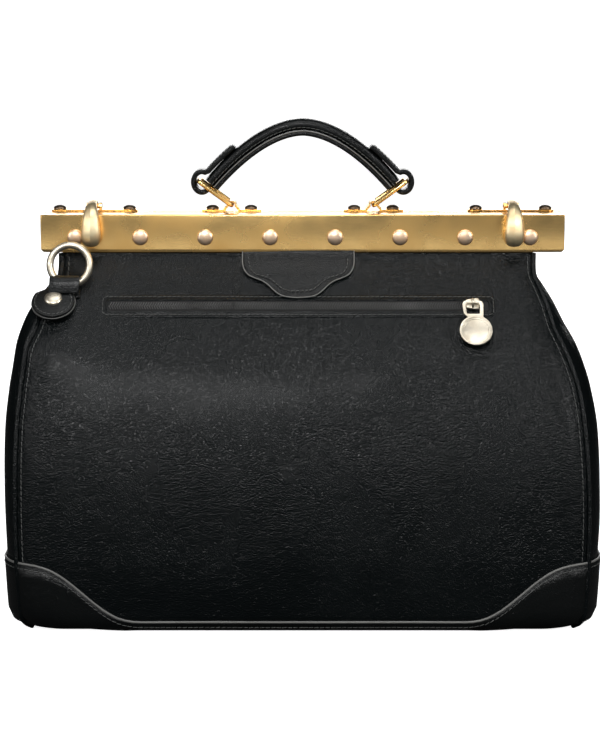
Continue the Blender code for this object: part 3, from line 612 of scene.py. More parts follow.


# ---- Lining and zip pocket --------------------------------------------------------------------
# A brown woven lining stands inside the lower body on the base board. The zip pocket's cloth bag hangs
# behind the front panel, sewn round the zip.
LINING_TOP = 0.108
LINING_INSET = -0.0036
for side, sign in (("front", 1), ("back", -1)):

    def on_lining(u, v):
        height = 0.0050 + (LINING_TOP - 0.0050) * v
        return skin_point(height, 4 * u - 2, 1.0, LINING_INSET)[0] * Vector((1, sign, 1))

    cloth = draped_grid(side + "_lining", 160, 24, on_lining, (0, sign, 0))
    cloth.data.materials.append(LINING_CLOTH)
    thicken(cloth, 0.0004)
    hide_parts("lining")
    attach(cloth, "body")


def on_pouch(u, v):
    height = 0.060 + (0.214 - 0.060) * v
    x = -0.124 + 0.246 * u
    ground = skin_point(height, x / (half_width(height) - 0.004), 1.0, -0.0030)[0]
    sag = 0.0035 * math.sin(math.pi * v) * math.sin(math.pi * u)
    return Vector((x, ground.y + sag, height))


pouch = draped_grid("zip_pocket", 60, 40, on_pouch, (0, 1, 0))
pouch.data.materials.append(LINING_CLOTH)
thicken(pouch, 0.0005)
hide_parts("pocket_pouch")
bend_with_frame(pouch)


# ---- Piping, seams and stitches ---------------------------------------------------------------
# A thin leather cord is sewn into each seam between a panel and an end, and a row of thread runs beside it.
def round_bar(name, points, radius, sides=8, closed=False, material=None, radii=None):
    """A tube along points, made from a curve and turned into a mesh."""
    data = bpy.data.curves.new(name, "CURVE")
    data.dimensions = "3D"
    spline = data.splines.new("POLY")
    spline.points.add(len(points) - 1)
    for k, point in enumerate(points):
        spline.points[k].co = (*point, 1)
        spline.points[k].radius = radii[k] if radii else 1.0
    spline.use_cyclic_u = closed
    data.bevel_depth = radius
    data.bevel_resolution = sides // 2 - 2 if sides > 4 else 0
    data.use_fill_caps = not closed
    bar = bpy.data.objects.new(name, data)
    bpy.context.scene.collection.objects.link(bar)
    activate(bar)
    bpy.ops.object.convert(target="MESH")
    bar = bpy.context.object
    bar.data.shade_smooth()
    if material:
        bar.data.materials.clear()
        bar.data.materials.append(material)
    return bar


deselect()
bpy.ops.mesh.primitive_cylinder_add(vertices=6, radius=0.5, depth=1, end_fill_type="TRIFAN")
stitch_shape = bpy.context.object
stitch_points = [v.co.copy() for v in stitch_shape.data.vertices]
for point in stitch_points:
    if abs(point.z) > 0.49 and point.xy.length < 0.01:
        point.z *= 1.15
    elif abs(point.z) > 0.49:
        point.xy *= 0.62
stitch_faces = [tuple(p.vertices) for p in stitch_shape.data.polygons]
bpy.data.objects.remove(stitch_shape)


def even_places(path, pitch):
    """Places along a path of (point, normal), one pitch apart, with the path's direction there."""
    places, left = [], pitch / 2
    for (a, na), (b, nb) in zip(path, path[1:]):
        length = (b - a).length
        while left < length:
            t = left / length
            places.append((a.lerp(b, t), na.lerp(nb, t).normalized(), (b - a).normalized()))
            left += pitch
        left -= length
    return places


def stitch_row(name, path, pitch=0.0036, length=0.0027, width=0.00075, lift=0.0001, tilt=0.12):
    """One mesh with a thread stitch at each even place along a path of (point, normal)."""
    points, faces = [], []
    for centre, normal, along in even_places(path, pitch):
        across = normal.cross(along).normalized()
        direction = (along + across * tilt).normalized()
        across = normal.cross(direction).normalized()
        first = len(points)
        for p in stitch_points:
            spot = centre + direction * p.z * length + across * p.x * width + normal * (p.y * width + lift)
            points.append(spot)
        faces += [tuple(first + i for i in face) for face in stitch_faces]
    mesh = bpy.data.meshes.new(name)
    mesh.from_pydata(points, [], faces)
    mesh.shade_smooth()
    row = bpy.data.objects.new(name, mesh)
    bpy.context.scene.collection.objects.link(row)
    row.data.materials.append(THREAD_PAINTED_GLINT)
    return row


def turned_path(path, x=1, y=1):
    flip = Vector((x, y, 1))
    return [(p * flip, n * flip) for p, n in path]


SEAM_HEIGHTS = [0.0015 + (0.2385 - 0.0015) * i / 110 for i in range(111)]
for side, sign in (("front", 1), ("back", -1)):
    seed = 1.0 if side == "front" else 6.0
    for end, turn in (("left", -1), ("right", 1)):
        seam = turned_path([skin_point(h, 1.0 * turn, seed, 0.0004) for h in SEAM_HEIGHTS], y=sign)
        piping = round_bar(f"{side}_piping_{end}", [p for p, n in seam], 0.0019, 10, material=BLACK_LEATHER)
        settle_piece(piping)
        bend_with_frame(piping)
        beside = turned_path([skin_point(h, 0.972 * turn, seed, 0.0001) for h in SEAM_HEIGHTS[4:]], y=sign)
        stitches = stitch_row(f"{side}_seam_stitches_{end}", beside)
        settle_piece(stitches)
        bend_with_frame(stitches)


# ---- Base wrap --------------------------------------------------------------------------------
# A second skin of leather round the foot of the bag, low in the middle of each face and rising in an S at
# the corners, with a painted edge, its grey partly painted sheen, and a row of stitches below the edge.
WRAP_LOW, WRAP_HIGH = 0.0075, 0.045
WRAP_START, WRAP_FULL = 0.56, 0.97


def wrap_height(along):
    t = max(0.0, min(1.0, (abs(along) - WRAP_START) / (WRAP_FULL - WRAP_START)))
    return WRAP_LOW + (WRAP_HIGH - WRAP_LOW) * t * t * t * (t * (6 * t - 15) + 10)


def full_skin(height, turn_round, lift):
    """Skin point all the way round: 0 to 4 goes from the middle of the front to the right, back and left."""
    quarter = int(turn_round * 2) % 8 // 2
    part = (turn_round - quarter) * 2
    along = part if quarter % 2 == 0 else 2 - part
    seed = 1.0
    point, normal = skin_point(height, along, seed, lift)
    flip = ((1, 1), (1, -1), (-1, -1), (-1, 1))[quarter]
    flip = Vector((*flip, 1))
    return point * flip, normal * flip, along


WRAP_COLUMNS = 320
wrap_loops = []
for level in (0.0, 0.12, 0.25, 0.4, 0.6, 0.8, 1.0):
    loop = []
    for k in range(WRAP_COLUMNS):
        t = 4 * k / WRAP_COLUMNS
        along = full_skin(0.05, t, 0)[2]
        loop.append(full_skin(max(0.0, wrap_height(along) * level), t, 0.0013)[0])
    wrap_loops.append(loop)
mesh = bpy.data.meshes.new("base_wrap")
points = [p for loop in wrap_loops for p in loop]
faces = []
for r in range(len(wrap_loops) - 1):
    for k in range(WRAP_COLUMNS):
        n = (k + 1) % WRAP_COLUMNS
        faces.append((r * WRAP_COLUMNS + k, r * WRAP_COLUMNS + n, (r + 1) * WRAP_COLUMNS + n,
                      (r + 1) * WRAP_COLUMNS + k))
faces.append(tuple(range(WRAP_COLUMNS - 1, -1, -1)))
mesh.from_pydata(points, [], faces)
base_wrap = bpy.data.objects.new("base_wrap", mesh)
bpy.context.scene.collection.objects.link(base_wrap)
base_wrap.data.materials.append(STRAP_LEATHER)
thicken(base_wrap, 0.0012)
for vertex in base_wrap.data.vertices:
    vertex.co.z = max(vertex.co.z, 0.0)
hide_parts("base_panel")
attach(base_wrap, "body")

edge_path, thread_path = [], []
for k in range(WRAP_COLUMNS + 1):
    t = (4 * k / WRAP_COLUMNS) % 4
    along = full_skin(0.05, t, 0)[2]
    edge_path.append(full_skin(wrap_height(along), t, 0.0007)[:2])
    thread_path.append(full_skin(max(0.004, wrap_height(along) - 0.0032), t, 0.0014)[:2])
edge_line = [p for p, n in edge_path[:-1]]
wrap_edge = round_bar("base_wrap_edge", edge_line, 0.0008, 8, closed=True, material=EDGE_PAINT_AND_SHEEN)
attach(wrap_edge, "body")
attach(stitch_row("base_wrap_stitches", thread_path), "body")

# ---- Brass frame ------------------------------------------------------------------------------
# Each half is a channel folded from satin brass strip, open below, with rounded ends. Eight domed rivets
# hold the leather against a clamp strip inside it.
BRASS_WALL = 0.0012
EDGE_ROUND = 0.0006
END_ROUND = 0.0028


def select_edges(piece, chosen):
    """Edit mode with only the edges selected whose two ends pass the test."""
    activate(piece)
    bpy.ops.object.mode_set(mode="EDIT")
    bpy.ops.mesh.select_mode(type="EDGE")
    bpy.ops.mesh.select_all(action="DESELECT")
    bpy.ops.object.mode_set(mode="OBJECT")
    for edge in piece.data.edges:
        edge.select = chosen(*(piece.data.vertices[i].co for i in edge.vertices))
    bpy.ops.object.mode_set(mode="EDIT")


def boxed(name, low, high):
    deselect()
    bpy.ops.mesh.primitive_cube_add(size=1)
    piece = bpy.context.object
    piece.name = name
    for vertex in piece.data.vertices:
        vertex.co = [(l + h) / 2 + c * (h - l) for l, h, c in zip(low, high, vertex.co)]
    return piece


for side in ("front", "back"):
    low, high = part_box(side + "_frame")
    bar = boxed(side + "_frame_bar", low, high)
    select_edges(bar, lambda a, b: abs(a.y - b.y) > 0.001 and max(a.z, b.z) < low.z + 0.0001)
    bpy.ops.mesh.bevel(offset=END_ROUND, segments=6)
    bpy.ops.object.mode_set(mode="OBJECT")
    select_edges(bar, lambda a, b: abs(a.z - b.z) > 0.01 or min(a.z, b.z) > high.z - 0.0001)
    bpy.ops.mesh.bevel(offset=EDGE_ROUND, segments=3)
    bpy.ops.mesh.select_mode(type="FACE")
    bpy.ops.mesh.select_all(action="DESELECT")
    bpy.ops.object.mode_set(mode="OBJECT")
    for polygon in bar.data.polygons:
        polygon.select = polygon.normal.z < -0.9 and polygon.center.z < low.z + 0.0001
    bpy.ops.object.mode_set(mode="EDIT")
    bpy.ops.mesh.delete(type="FACE")
    bpy.ops.object.mode_set(mode="OBJECT")
    thicken(bar, BRASS_WALL)
    rim = bar.modifiers.new("rim", "BEVEL")
    rim.width, rim.segments, rim.limit_method = 0.0003, 2, "ANGLE"
    rim.angle_limit = math.radians(50)
    apply_all(bar)
    bpy.ops.object.shade_smooth_by_angle(angle=math.radians(40))
    bar.data.materials.append(SATIN_BRASS)
    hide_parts(side + "_frame")
    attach(bar, side + "_half")


def domed_head(centre, direction, radius, height, material, collar=0.12):
    """A domed rivet head with a small flat collar, its underside at the centre."""
    deselect()
    bpy.ops.mesh.primitive_uv_sphere_add(segments=28, ring_count=18, radius=1)
    head = bpy.context.object
    bpy.ops.object.mode_set(mode="EDIT")
    bpy.ops.mesh.select_all(action="SELECT")
    bpy.ops.mesh.bisect(plane_co=(0, 0, 0), plane_no=(0, 0, -1), clear_outer=True, use_fill=True)
    bpy.ops.object.mode_set(mode="OBJECT")
    turn = Vector((0, 0, 1)).rotation_difference(Vector(direction)).to_matrix()
    for vertex in head.data.vertices:
        spot = vertex.co
        rise = spot.z * height * (1 - collar) + (collar * height if spot.z > 0.02 else 0)
        vertex.co = turn @ Vector((spot.x * radius, spot.y * radius, rise)) + Vector(centre)
    head.data.materials.append(material)
    bpy.ops.object.shade_smooth_by_angle(angle=math.radians(40))
    return head


def joined(name, pieces):
    deselect()
    for piece in pieces:
        piece.select_set(True)
    bpy.context.view_layer.objects.active = pieces[0]
    bpy.ops.object.join()
    whole = bpy.context.object
    whole.name = name
    return whole


RIVET_COUNT = 8
RIVET_PITCH = 0.0434
RIVET_HEIGHT = FRAME_BOTTOM + 0.010
RIVET_RADIUS = 0.0054
for side, sign in (("front", -1), ("back", 1)):
    heads = []
    for i in range(RIVET_COUNT):
        place = ((i - (RIVET_COUNT - 1) / 2) * RIVET_PITCH, sign * (abs(FRAME_FACE) + 0.0001), RIVET_HEIGHT)
        heads.append(domed_head(place, (0, sign, 0), RIVET_RADIUS, 0.0026, ROSE_BRASS))
    rivets = joined(side + "_rivets", heads)
    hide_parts(side + "_rivet_strip")
    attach(rivets, side + "_half")


# ---- Claws and keepers ------------------------------------------------------------------------
# Each claw is a small brass casting: a faceted drop with a ridge down its front, an arm over the frame
# and a hook that drops behind a bar between the keeper's ears on the other half. Dark bronze rivets hold
# the keepers.
CLAW_PIN = Vector(next(j for j in frame["joints"] if j["name"] == "claw_left_swing")["pos_m"])
CLAW_X = abs(CLAW_PIN.x)
# One row for each station, knob to hook: front or top (y, z), back or underside (y, z), half width
CLAW_STATIONS = [
    ((-0.0221, 0.2440), (-0.0212, 0.2441), 0.0020), ((-0.0246, 0.2450), (-0.0190, 0.2450), 0.0046),
    ((-0.0268, 0.2475), (-0.0183, 0.2476), 0.0062), ((-0.0279, 0.2512), (-0.0182, 0.2510), 0.0069),
    ((-0.0279, 0.2550), (-0.0182, 0.2550), 0.0068), ((-0.0272, 0.2592), (-0.0182, 0.2590), 0.0063),
    ((-0.0256, 0.2636), (-0.0181, 0.2634), 0.0056), ((-0.0228, 0.2678), (-0.0174, 0.2662), 0.0048),
    ((-0.0190, 0.2711), (-0.0150, 0.2684), 0.0040), ((-0.0135, 0.2730), (-0.0115, 0.2700), 0.0034),
    ((-0.0065, 0.2735), (-0.0060, 0.2710), 0.0030), ((0.0010, 0.2733), (0.0015, 0.2712), 0.0027),
    ((0.0065, 0.2727), (0.0055, 0.2711), 0.0024), ((0.0102, 0.2712), (0.0075, 0.2701), 0.0022),
    ((0.0116, 0.2694), (0.0088, 0.2686), 0.0021), ((0.0118, 0.2674), (0.0097, 0.2673), 0.0017)]
# Cross-section of the claw: (across, from the back at 0 to the ridge at 1)
CLAW_SECTION = [(0, 1.0), (0.30, 0.92), (0.60, 0.84), (0.90, 0.72), (1.0, 0.50), (0.94, 0.2), (0.62, 0.0),
                (0.3, 0.0)]
CLAW_SECTION += [(-x, t) for x, t in reversed(CLAW_SECTION[1:])]
claw_loop = len(CLAW_SECTION)


def claw_mesh(name, centre_x):
    """The drop, arm and hook, skinned over its stations from a cylinder's rings."""
    deselect()
    bpy.ops.mesh.primitive_grid_add(x_subdivisions=claw_loop, y_subdivisions=len(CLAW_STATIONS) - 1, size=2)
    claw = bpy.context.object
    claw.name = name
    for vertex in claw.data.vertices:
        k = round((vertex.co.x + 1) / 2 * claw_loop) % claw_loop
        row = round((vertex.co.y + 1) / 2 * (len(CLAW_STATIONS) - 1))
        top, under, half = CLAW_STATIONS[row]
        across, t = CLAW_SECTION[k]
        y, z = (low + (high - low) * t for low, high in zip(under, top))
        vertex.co = (centre_x + across * half, y, z)
    bpy.ops.object.mode_set(mode="EDIT")
    bpy.ops.mesh.select_all(action="SELECT")
    bpy.ops.mesh.remove_doubles(threshold=0.00001)
    bpy.ops.mesh.select_all(action="DESELECT")
    bpy.ops.mesh.select_mode(type="EDGE")
    bpy.ops.mesh.select_non_manifold()
    bpy.ops.mesh.fill_holes(sides=0)
    bpy.ops.mesh.select_all(action="SELECT")
    bpy.ops.mesh.normals_make_consistent(inside=False)
    bpy.ops.object.mode_set(mode="OBJECT")
    ridge = claw.data.attributes.new("crease_edge", "FLOAT", "EDGE")
    for edge in claw.data.edges:
        a, b = (claw.data.vertices[i].co for i in edge.vertices)
        if abs(a.x - centre_x) < 1e-5 and abs(b.x - centre_x) < 1e-5 and max(a.z, b.z) < 0.272:
            ridge.data[edge.index].value = 0.9
    soft = claw.modifiers.new("soft", "SUBSURF")
    soft.levels = soft.render_levels = 2
    apply_all(claw)
    claw.data.materials.append(CLAW_BRASS_PAINTED_LIGHT)
    bpy.ops.object.shade_smooth_by_angle(angle=math.radians(16))
    return claw


for end, turn in (("left", -1), ("right", 1)):
    claw = claw_mesh("claw_casting_" + end, turn * CLAW_X)
    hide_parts("claw_" + end)
    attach(claw, "claw_" + end)

for group in ("keeper", "saddle"):
    for end in ("left", "right"):
        for label in ("outer", "inner"):
            low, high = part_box(f"{group}_rivet_{end}_{label}")
            middle = (low + high) / 2
            head = domed_head((middle.x, middle.y, low.z - 0.0001), (0, 0, 1), 0.0043, 0.0026, DARK_BRONZE)
            head.name = f"{group}_head_{end}_{label}"
            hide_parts(f"{group}_rivet_{end}_{label}")
            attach(head, "back_half")


# ---- Handle -----------------------------------------------------------------------------------
# A padded leather grip over a flat lining strip, stitched along both edges. A strap over each end of the
# grip goes round a rectangular brass ring, which turns in a saddle on the frame's back half.
def joint_place(name):
    return Vector(next(j for j in frame["joints"] if j["name"] == name)["pos_m"])


SADDLE = joint_place("handle_ring_right_swing")
RING_TOP = joint_place("handle_pivot")
HANDLE_Y = SADDLE.y
RING_TOP_X = abs(RING_TOP.x)
ARCH_TOP = 0.3215
ARCH_DROP = 0.0361
GRIP_HALF_WIDTH = 0.0080
GRIP_END = 0.0590
GRIP_REACH = 0.0612
GRIP_TOP = 0.0063
STRAP_THICK = 0.0034


def handle_height(x):
    return ARCH_TOP - ARCH_DROP * abs(x / GRIP_END) ** 1.82


def handle_place(x):
    """Point on the handle's centre line and the upward direction square to it."""
    slope = (handle_height(x + 0.0005) - handle_height(x - 0.0005)) / 0.001
    along = Vector((1, 0, slope)).normalized()
    return Vector((x, HANDLE_Y, handle_height(x))), Vector((-along.z, 0, along.x))


def swept_section(name, section, stations, place, material):
    """A closed bar: a loop of (across, up) points carried along stations and capped at both ends."""
    deselect()
    count = len(section)
    bpy.ops.mesh.primitive_grid_add(x_subdivisions=count, y_subdivisions=len(stations) - 1, size=2)
    bar = bpy.context.object
    bar.name = name
    for vertex in bar.data.vertices:
        k = round((vertex.co.x + 1) / 2 * count) % count
        row = round((vertex.co.y + 1) / 2 * (len(stations) - 1))
        vertex.co = place(stations[row], *section[k])
    bpy.ops.object.mode_set(mode="EDIT")
    bpy.ops.mesh.select_all(action="SELECT")
    bpy.ops.mesh.remove_doubles(threshold=0.000005)
    bpy.ops.mesh.select_all(action="DESELECT")
    bpy.ops.mesh.select_mode(type="EDGE")
    bpy.ops.mesh.select_non_manifold()
    bpy.ops.mesh.fill_holes(sides=0)
    bpy.ops.mesh.select_all(action="SELECT")
    bpy.ops.mesh.normals_make_consistent(inside=False)
    bpy.ops.object.mode_set(mode="OBJECT")
    bar.data.materials.append(material)
    bpy.ops.object.shade_smooth_by_angle(angle=math.radians(50))
    return bar


def on_handle(x, across, up):
    point, normal = handle_place(x)
    return point + Vector((0, across, 0)) + normal * up


def rounded_section(half_width, low, high, power=3.2, steps=28):
    """Rounded oblong loop of (across, up) points."""
    middle, half = (low + high) / 2, (high - low) / 2
    loop = []
    for k in range(steps):
        a = 2 * math.pi * k / steps
        c, s = math.cos(a), math.sin(a)
        loop.append((half_width * math.copysign(abs(c) ** (2 / power), c),
                     middle + half * math.copysign(abs(s) ** (2 / power), s)))
    return loop


grip_stations = [-GRIP_REACH + 2 * GRIP_REACH * i / 72 for i in range(73)]


def on_grip(x, across, up):
    swell = 1 - 0.10 * abs(x / GRIP_REACH) ** 4
    return on_handle(x, across * swell, up * (1 if up < 0 else swell))


cover_section = rounded_section(GRIP_HALF_WIDTH, -0.0018, GRIP_TOP, 2.6)
grip = swept_section("grip_cover", cover_section, grip_stations, on_grip,
                     STRAP_LEATHER)
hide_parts("handle_grip")
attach(grip, "handle")
strip_section = rounded_section(GRIP_HALF_WIDTH * 0.94, -0.0054, -0.0021, 5)
under_grip = swept_section("grip_lining", strip_section, grip_stations,
                           on_grip, STRAP_LEATHER)
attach(under_grip, "handle")
for face, label in ((-1, "near"), (1, "far")):
    line = [on_grip(x, face * GRIP_HALF_WIDTH * 0.95, -0.0019) for x in grip_stations]
    edge = round_bar("grip_edge_" + label, line, 0.0005, 6, material=EDGE_PAINT_AND_SHEEN)
    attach(edge, "handle")
    path = [(on_grip(x, face * GRIP_HALF_WIDTH * 0.985, 0.0004), Vector((0, face, 0))) for x in grip_stations]
    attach(stitch_row("grip_stitches_" + label, path, pitch=0.0032, length=0.0023, lift=0.0), "handle")


def strap(name, path, half_width, thickness, material, axis=Vector((0, 1, 0))):
    """A flat strap whose middle line follows path, with rounded edges."""
    count = len(path)
    deselect()
    bpy.ops.mesh.primitive_grid_add(x_subdivisions=6, y_subdivisions=count - 1, size=2)
    band = bpy.context.object
    band.name = name
    for vertex in band.data.vertices:
        row = round((vertex.co.y + 1) / 2 * (count - 1))
        vertex.co = path[row] + axis * half_width * vertex.co.x
    band.data.materials.append(material)
    thicken(band, thickness, offset=0)
    round_edge = band.modifiers.new("edge", "BEVEL")
    round_edge.width, round_edge.segments, round_edge.limit_method = thickness * 0.28, 3, "ANGLE"
    round_edge.angle_limit = math.radians(60)
    apply_all(band)
    bpy.ops.object.shade_smooth_by_angle(angle=math.radians(45))
    return band


for end, turn in (("left", -1), ("right", 1)):
    ring_top = Vector((turn * RING_TOP_X, HANDLE_Y, RING_TOP.z))
    path = []
    for i in range(13):
        point, up = handle_place(turn * (0.0408 + (0.0575 - 0.0408) * i / 12))
        path.append(point + up * (GRIP_TOP + STRAP_THICK / 2))
    loop_centre = ring_top + Vector((-turn * 0.0020, 0, -0.0006))
    for i in range(21):
        angle = math.radians(112 - 252 * i / 20)
        path.append(loop_centre + Vector((turn * 0.0057 * math.cos(angle), 0, 0.0070 * math.sin(angle))))
    chape = strap("chape_" + end, path, 0.0072, STRAP_THICK, STRAP_LEATHER)
    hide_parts("handle_chape_" + end)
    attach(chape, "handle")
    for face in (-1, 1):
        row = []
        for i in range(9):
            x = turn * (0.0420 + 0.016 * i / 8)
            point, up = handle_place(x)
            lift = GRIP_TOP + STRAP_THICK
            row.append((point + up * lift + Vector((0, face * 0.0056, 0)), up))
        label = "near" if face < 0 else "far"
        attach(stitch_row(f"chape_stitches_{end}_{label}", row, pitch=0.0030, length=0.0022), "handle")

    low = Vector((turn * SADDLE.x, 0, SADDLE.z))
    rise = Vector((ring_top.x, 0, ring_top.z)) - low
    span, rise = rise.length, rise.normalized()
    reach, corner = 0.0095, 0.0024
    ring_path = []
    for near, far, start in ((0, -1, 270), (1, -1, 180), (1, 1, 90), (0, 1, 0)):
        for i in range(7):
            a = math.radians(start - 90 * i / 6)
            y = far * (reach - corner) + corner * math.cos(a)
            s = (span - corner if near else corner) + corner * math.sin(a)
            ring_path.append(low + rise * s + Vector((0, HANDLE_Y + y, 0)))
    ring = round_bar("ring_wire_" + end, ring_path, 0.0015, 14, closed=True, material=SATIN_BRASS)
    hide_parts("handle_ring_" + end)
    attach(ring, "handle_ring_" + end)


# ---- Tongue under the frame -------------------------------------------------------------------
# A half-round leather tongue hangs from the middle of the front frame over the panel, with a painted edge,
# its grey partly painted sheen, and a row of stitches round its rim.
TONGUE_X = -0.0029
# Rim of the tongue from the frame to the tip: half width and drop below the frame
TONGUE_RIM = [(0.0372, -0.0010), (0.0372, 0.0050), (0.0368, 0.0085), (0.0352, 0.0118), (0.0325, 0.0142),
              (0.0285, 0.0158), (0.0240, 0.0174), (0.0200, 0.0198), (0.0168, 0.0226), (0.0136, 0.0250),
              (0.0098, 0.0266), (0.0050, 0.0273), (0.0000, 0.0275)]


def tongue_edge(t):
    """Half width and height of the rim: t = 0 under the frame, 1 at the tip."""
    place = t * (len(TONGUE_RIM) - 1)
    i = min(len(TONGUE_RIM) - 2, int(place))
    before, a, b, after = (TONGUE_RIM[max(0, min(len(TONGUE_RIM) - 1, i + k))] for k in (-1, 0, 1, 2))
    f = place - i
    value = []
    for p, q, r, w in zip(before, a, b, after):
        value.append(q + 0.5 * f * (r - p + f * (2 * p - 5 * q + 4 * r - w + f * (3 * (q - r) + w - p))))
    return max(0.0, value[0]), FRAME_BOTTOM - value[1]


def over_panel(x, height, lift):
    """Point over the flat of the front panel."""
    normal = lean(height, Vector((0, -1, 0)))
    flat = half_width(height) - corner_radius(height)
    along = abs(x) / (flat + corner_radius(height) * SEAM_ANGLE)
    point = skin_point(height, math.copysign(along, x), 1.0)[0]
    return Vector((x, point.y + lift / normal.y, height)), normal


def on_tongue(u, v):
    half, height = tongue_edge(v)
    return over_panel(TONGUE_X + (u * 2 - 1) * max(half, 0.0004), height, 0.0013)[0]


tongue = draped_grid("tongue", 40, 46, on_tongue, (0, -1, 0))
tongue.data.materials.append(STRAP_LEATHER)
thicken(tongue, 0.0018, offset=0)
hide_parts("front_tongue")
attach(tongue, "front_half")
rim_path, sewn = [], []
for t in [i / 40 for i in range(41)]:
    half, height = tongue_edge(t)
    rim_path.append((-half, height))
rim_path += [(-x, z) for x, z in reversed(rim_path[:-1])]
rim_path = [(x + TONGUE_X, z) for x, z in rim_path]
tongue_line = [over_panel(x, z, 0.0019)[0] for x, z in rim_path]
rim = round_bar("tongue_edge", tongue_line, 0.0005, 6, material=EDGE_PAINT_AND_SHEEN)
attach(rim, "front_half")
centre_z = FRAME_BOTTOM - 0.004
for x, z in rim_path[2:-2]:
    toward = Vector((TONGUE_X - x, centre_z - z)).normalized() * 0.0042
    point, normal = over_panel(x + toward.x, z + toward.y, 0.0030)
    sewn.append((point, normal))
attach(stitch_row("tongue_stitches", sewn, pitch=0.0030, length=0.0021), "front_half")


# ---- Long zip ---------------------------------------------------------------------------------
# A coil zip on woven tape behind a narrow window in the front panel, with a turned edge round the window,
# a box of stitches round that, and a slider at the right whose coin tag hangs down.
TAPE_LOW, TAPE_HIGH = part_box("zip_tape")
ZIP_HEIGHT = 0.2067
ZIP_LEFT, ZIP_RIGHT = TAPE_LOW.x, TAPE_HIGH.x
WINDOW_HALF = 0.0036
zip_normal = lean(ZIP_HEIGHT, Vector((0, -1, 0)))
zip_up = zip_normal.cross(Vector((1, 0, 0)))
zip_up = zip_up if zip_up.z > 0 else -zip_up


def on_zip(x, up, lift):
    """Place beside the zip: along the bag, up the leather and out from it."""
    ground, _ = over_panel(x, ZIP_HEIGHT + up * zip_up.z, 0)
    return ground + zip_normal * lift


tape = draped_grid("tape", 120, 8, lambda u, v: on_zip(ZIP_LEFT + (ZIP_RIGHT - ZIP_LEFT) * u,
                                                       (v * 2 - 1) * 0.0042, 0.0003), (0, -1, 0))
tape.data.materials.append(ZIP_CLOTH)
thicken(tape, 0.0004, offset=1)
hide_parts("zip_tape")
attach(tape, "front_half")


def window_loop(grow, steps=8):
    """Oblong with round corners round the zip's window, as (x, up) pairs."""
    left, right, half = ZIP_LEFT + 0.002 - grow, ZIP_RIGHT - 0.001 + grow, WINDOW_HALF + grow
    corner = min(half, 0.0018 + grow * 0.4)
    loop = []
    for cx, cy, start in ((right - corner, half - corner, 0), (left + corner, half - corner, 90),
                          (left + corner, -half + corner, 180), (right - corner, -half + corner, 270)):
        for i in range(steps + 1):
            a = math.radians(start + 90 * i / steps)
            loop.append((cx + corner * math.cos(a), cy + corner * math.sin(a)))
    return loop


def along_window(loop, pitch=0.004):
    """The loop with points added on its long sides."""
    full = []
    for (x0, y0), (x1, y1) in zip(loop, loop[1:] + loop[:1]):
        count = max(1, int(math.hypot(x1 - x0, y1 - y0) / pitch))
        full += [(x0 + (x1 - x0) * i / count, y0 + (y1 - y0) * i / count) for i in range(count)]
    return full


lip_inner = along_window(window_loop(0.0))
# Section of the turned edge from the tape outwards: (distance from the window, height over the panel)
LIP_PROFILE = [(0.0, 0.0004), (0.0001, 0.0010), (0.0004, 0.0013), (0.0009, 0.00125), (0.0015, 0.0010),
               (0.0021, 0.0008), (0.0028, 0.0006), (0.0035, 0.0006), (0.0042, 0.0004), (0.0048, 0.0001),
               (0.0054, -0.0006)]
lip_steps = len(LIP_PROFILE) - 1
lip_count = len(lip_inner)


def on_lip(u, v):
    """Turned leather edge round the window: rises from the tape, rolls over and dies into the panel."""
    x, up = lip_inner[round(u * lip_count) % lip_count]
    centre_x = max(ZIP_LEFT + 0.006, min(ZIP_RIGHT - 0.005, x))
    away = Vector((x - centre_x, up)).normalized()
    spread, rise = LIP_PROFILE[round(v * lip_steps)]
    return on_zip(x + away.x * spread, up + away.y * spread, rise)


lip = draped_grid("zip_window_edge", lip_count, lip_steps, on_lip, (0, -1, 0))
activate(lip)
bpy.ops.object.mode_set(mode="EDIT")
bpy.ops.mesh.select_all(action="SELECT")
bpy.ops.mesh.remove_doubles(threshold=0.00001)
bpy.ops.mesh.normals_make_consistent(inside=False)
bpy.ops.object.mode_set(mode="OBJECT")
if sum(p.normal.y * p.area for p in lip.data.polygons) > 0:
    lip.data.flip_normals()
lip.data.materials.append(BLACK_LEATHER)
thicken(lip, 0.0006)
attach(lip, "front_half")
sewn = []
for x, up in along_window(window_loop(0.0030), 0.002) + window_loop(0.0030)[:1]:
    sewn.append((on_zip(x, up, 0.0014), zip_normal))
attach(stitch_row("zip_stitches", sewn, pitch=0.0032, length=0.0024), "front_half")

TOOTH_PITCH = 0.00165
deselect()
bpy.ops.mesh.primitive_cylinder_add(vertices=8, radius=0.5, depth=1)
tooth = bpy.context.object
tooth_points = [v.co.copy() for v in tooth.data.vertices]
tooth_faces = [tuple(p.vertices) for p in tooth.data.polygons]
bpy.data.objects.remove(tooth)
points, faces = [], []
for i in range(int((ZIP_RIGHT - ZIP_LEFT - 0.008) / TOOTH_PITCH)):
    x = ZIP_LEFT + 0.004 + i * TOOTH_PITCH
    for face in (-1, 1):
        first = len(points)
        for p in tooth_points:
            reach = face * (0.0013 + p.z * 0.0026)
            along = x + p.x * 0.00072 + face * 0.0003 + p.z * 0.0012
            points.append(on_zip(along, reach, 0.0011 + p.y * 0.0010))
        faces += [tuple(first + k for k in face_loop) for face_loop in tooth_faces]
mesh = bpy.data.meshes.new("zip_teeth")
mesh.from_pydata(points, [], faces)
teeth = bpy.data.objects.new("zip_teeth", mesh)
bpy.context.scene.collection.objects.link(teeth)
activate(teeth)
bpy.ops.object.mode_set(mode="EDIT")
bpy.ops.mesh.select_all(action="SELECT")
bpy.ops.mesh.normals_make_consistent(inside=False)
bpy.ops.object.mode_set(mode="OBJECT")
teeth.data.materials.append(COIL_PLASTIC)
bpy.ops.object.shade_smooth_by_angle(angle=math.radians(50))
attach(teeth, "front_half")

# Slider: a flat wedge body, narrow at one end, and a bail
SLIDER_X = joint_place("zip_tag_swing").x
TAG_HINGE = joint_place("zip_tag_swing")
slider_base = Vector((0, TAG_HINGE.y, TAG_HINGE.z)) - zip_normal * 0.0063


